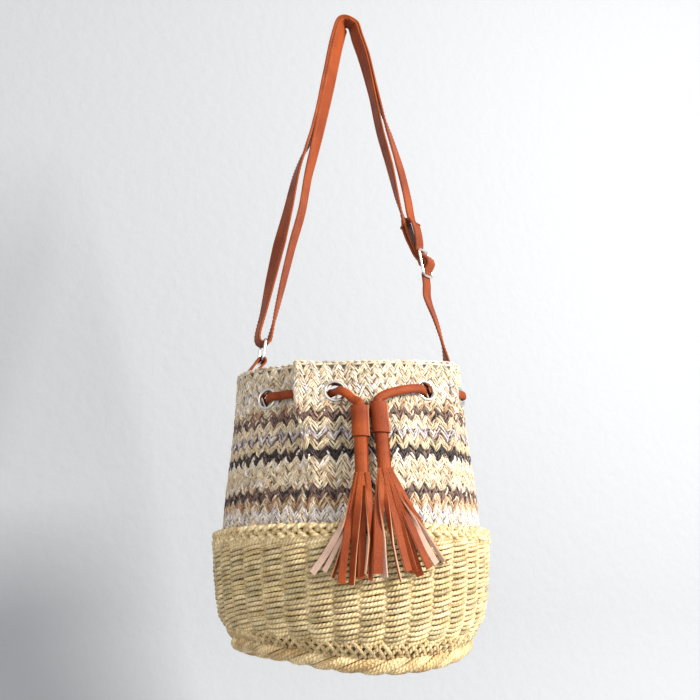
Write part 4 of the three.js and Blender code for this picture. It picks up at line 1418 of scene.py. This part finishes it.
def by_slider(pairs):
    """Stops given as how far down from the slider's middle bar and how far out of its plane."""
    out, across, up = fitting_axes(SLIDER)
    places = []
    for down, off in pairs:
        lean = LEG_LEAN["slope"] * max(0, -down - LEG_LEAN["from"])
        places.append(np.array([SLIDER["x"] - lean, 0, SLIDER["z"]]) - down * up + off * out)
    return np.array(places), np.array([across] * len(pairs))


# %% Lay the strap's path
SEWN_END = [(-40, -1.4), (-34, -2.2), (-26, -3.6), (-18, -4.2), (-12.4, -4.2), (-10.4, -4.1)]
ROUND_BAR = [(-8.2, -3.5), (-5.6, -1.3), (-2.6, 1.4), (0, 2.8), (2, 2), (2.8, 0), (2, -2), (0, -2.8)]
INNER_RUN = [(-2, -3), (-5, -4.4), (-8.2, -5.9), (-11, -6.3), (-16, -6.3), (-24, -6.3), (-34, -5)]
OUTER_RUN = [(-34, 4.4), (-26, 3.2), (-18, 0.6), (-12.5, -2.1), (-9.6, -1.9), (-7, 0.3), (-4, 3)]
OVER_BAR = [(-1.5, 4.7), (1.5, 4.7), (4, 3), (7, 0.3), (9.6, -1.9), (12.5, -2.1), (18, -2.6), (28, -4.4)]
bend = HOOK_RADIUS + STRAP_THICKNESS / 2
strap_parts = [
    by_slider(SEWN_END + ROUND_BAR + INNER_RUN),
    stops_of([
        *RIGHT_INNER, *front_arc(0, -HOOK_RADIUS, bend, 66, -66, 4, (-6, 49)), *LEFT_INNER,
        *front_arc(-71, -290.6, 4.7, 90, 270, 4), *LEFT_OUTER,
        *front_arc(0, -HOOK_RADIUS, bend + LAYER, -66, 66, 4, (49, -6)), *RIGHT_OUTER,
    ]),
    by_slider(OUTER_RUN + OVER_BAR),
    stops_of([
        (75.8, -266, 36), (81.2, -286, 24), (INSIDE, -302, 4), (INSIDE, -316, 0), (INSIDE, STRAP_END, 0),
    ]),
]


# %% Sweep and sew the strap
def flat_path(stops, wide, spacing=1.6):
    """A smooth path through stops, with the way its width points and its face looks at each place."""
    places = smooth_path(stops, spacing)
    _, wide = section_axes(places, follow(places, stops, wide))
    return places, np.cross(wide, unit(np.gradient(places, axis=0))), wide


def add_stitches(name, places, looks_at, wide, offset, height, pitch=3.1, length=2.1):
    """Short threads in a row along a ribbon, offset across it and height off its middle."""
    run = np.concatenate([[0], np.cumsum(np.linalg.norm(np.diff(places, axis=0), axis=1))])
    paths = []
    for begin in np.arange(2, run[-1] - 3, pitch):
        marks = begin + np.array([0, 0.15, 0.5, 0.85, 1]) * length
        middle, out, side = (
            np.stack([np.interp(marks, run, axis) for axis in table.T], axis=1)
            for table in (places, looks_at, wide)
        )
        sunk = np.array([-0.35, 0.02, 0.12, 0.02, -0.35])[:, None]
        paths.append(middle + out * (height + math.copysign(1, height) * sunk) + side * offset)
    piece = add_strands(name, paths, 0.32, thread, sides=5, colours=[np.ones(3)] * len(paths))
    finish_piece(piece, "leather")


strap_stops, strap_wide = (np.concatenate(parts) for parts in zip(*strap_parts))
strap_places, strap_looks, strap_wide = flat_path(strap_stops, strap_wide)
print("strap length in mm:", round(float(np.linalg.norm(np.diff(strap_places, axis=0), axis=1).sum())))
strap = ribbon_mesh(
    "strap_leather",
    [ribbon_rings(strap_places, strap_looks, np.full(len(strap_places), STRAP_WIDTH), STRAP_THICKNESS)],
    [leather, leather, sealed_edge],
)
finish_piece(strap, "leather", "strap")
for row_name, offset, height in (
    ("front_out", -5.9, 0.95), ("back_out", 5.9, 0.95), ("front_in", -5.9, -0.95), ("back_in", 5.9, -0.95),
):
    add_stitches("strap_stitches_" + row_name, strap_places, strap_looks, strap_wide, offset, height)

# %% Fold the tab
reach = RING["height"] / 2 - RING["bar"] / 2
ring_tilt = math.radians(RING["tilt"])
low_bar = (RING["x"] - reach * math.sin(ring_tilt), RING["z"] - reach * math.cos(ring_tilt))
tab_bend = RING["bar"] * math.sqrt(0.5) + 0.3 + STRAP_THICKNESS / 2
tab_rows = [
    (LAYER - INSIDE, TAB_END, 0), (LAYER - INSIDE, -330, 0), (LAYER - INSIDE + 1.4, -322, 0),
    *front_arc(*low_bar, tab_bend, 130, -80, 6),
    (1.6 - INSIDE, -319, 0), (-INSIDE, -330, 0), (-INSIDE, TAB_END, 0),
]
tab_places, tab_looks, _ = flat_path(*stops_of(tab_rows), 1.0)
tab = ribbon_mesh(
    "strap_tab_leather",
    [ribbon_rings(tab_places, tab_looks, np.full(len(tab_places), STRAP_WIDTH), STRAP_THICKNESS)],
    [leather, leather, sealed_edge],
)
finish_piece(tab, "leather", "strap_tab")

# %% [markdown]
# ## Ring and slider
# Both are bent from round wire. Their paths are rounded rectangles that stand in the strap's
# plane, and the strand tree gives them their section. The slider has a bar across its middle.

# %% Bend the wire
def wire_path(fitting, height, corner=2.6):
    """A closed rounded rectangle of wire in the plane of its fitting."""
    half_w = (fitting["width"] - fitting["bar"]) / 2 - corner
    half_h = (height - fitting["bar"]) / 2 - corner
    loop = []
    for quarter, (w, h) in enumerate(((1, 1), (-1, 1), (-1, -1), (1, -1))):
        for k in range(7):
            turn = math.radians(90 * quarter + 15 * k)
            loop.append((w * half_w + corner * math.cos(turn), h * half_h + corner * math.sin(turn)))
    return fitting_places(fitting, loop)


def fitting_places(fitting, loop):
    """Places of a fitting from pairs across it and along its height."""
    _, across, up = fitting_axes(fitting)
    return np.array([fitting["x"], 0, fitting["z"]]) + np.array([w * across + h * up for w, h in loop])


ring = add_strands("ring_wire", [wire_path(RING, RING["height"])], 1.1, nickel, sides=14, closed=True)
finish_piece(ring, "nickel", "strap_ring")
slider = add_strands(
    "slider_wire", [wire_path(SLIDER, SLIDER["length"])], 1.05, nickel, sides=14, closed=True,
)
finish_piece(slider, "nickel", "strap_slider")
bar_ends = SLIDER["width"] / 2 - SLIDER["bar"] / 2
bar = add_strands(
    "slider_bar", [fitting_places(SLIDER, [(y, 0) for y in np.linspace(-bar_ends, bar_ends, 8)])], 0.95,
    nickel, sides=14,
)
finish_piece(bar, "nickel")
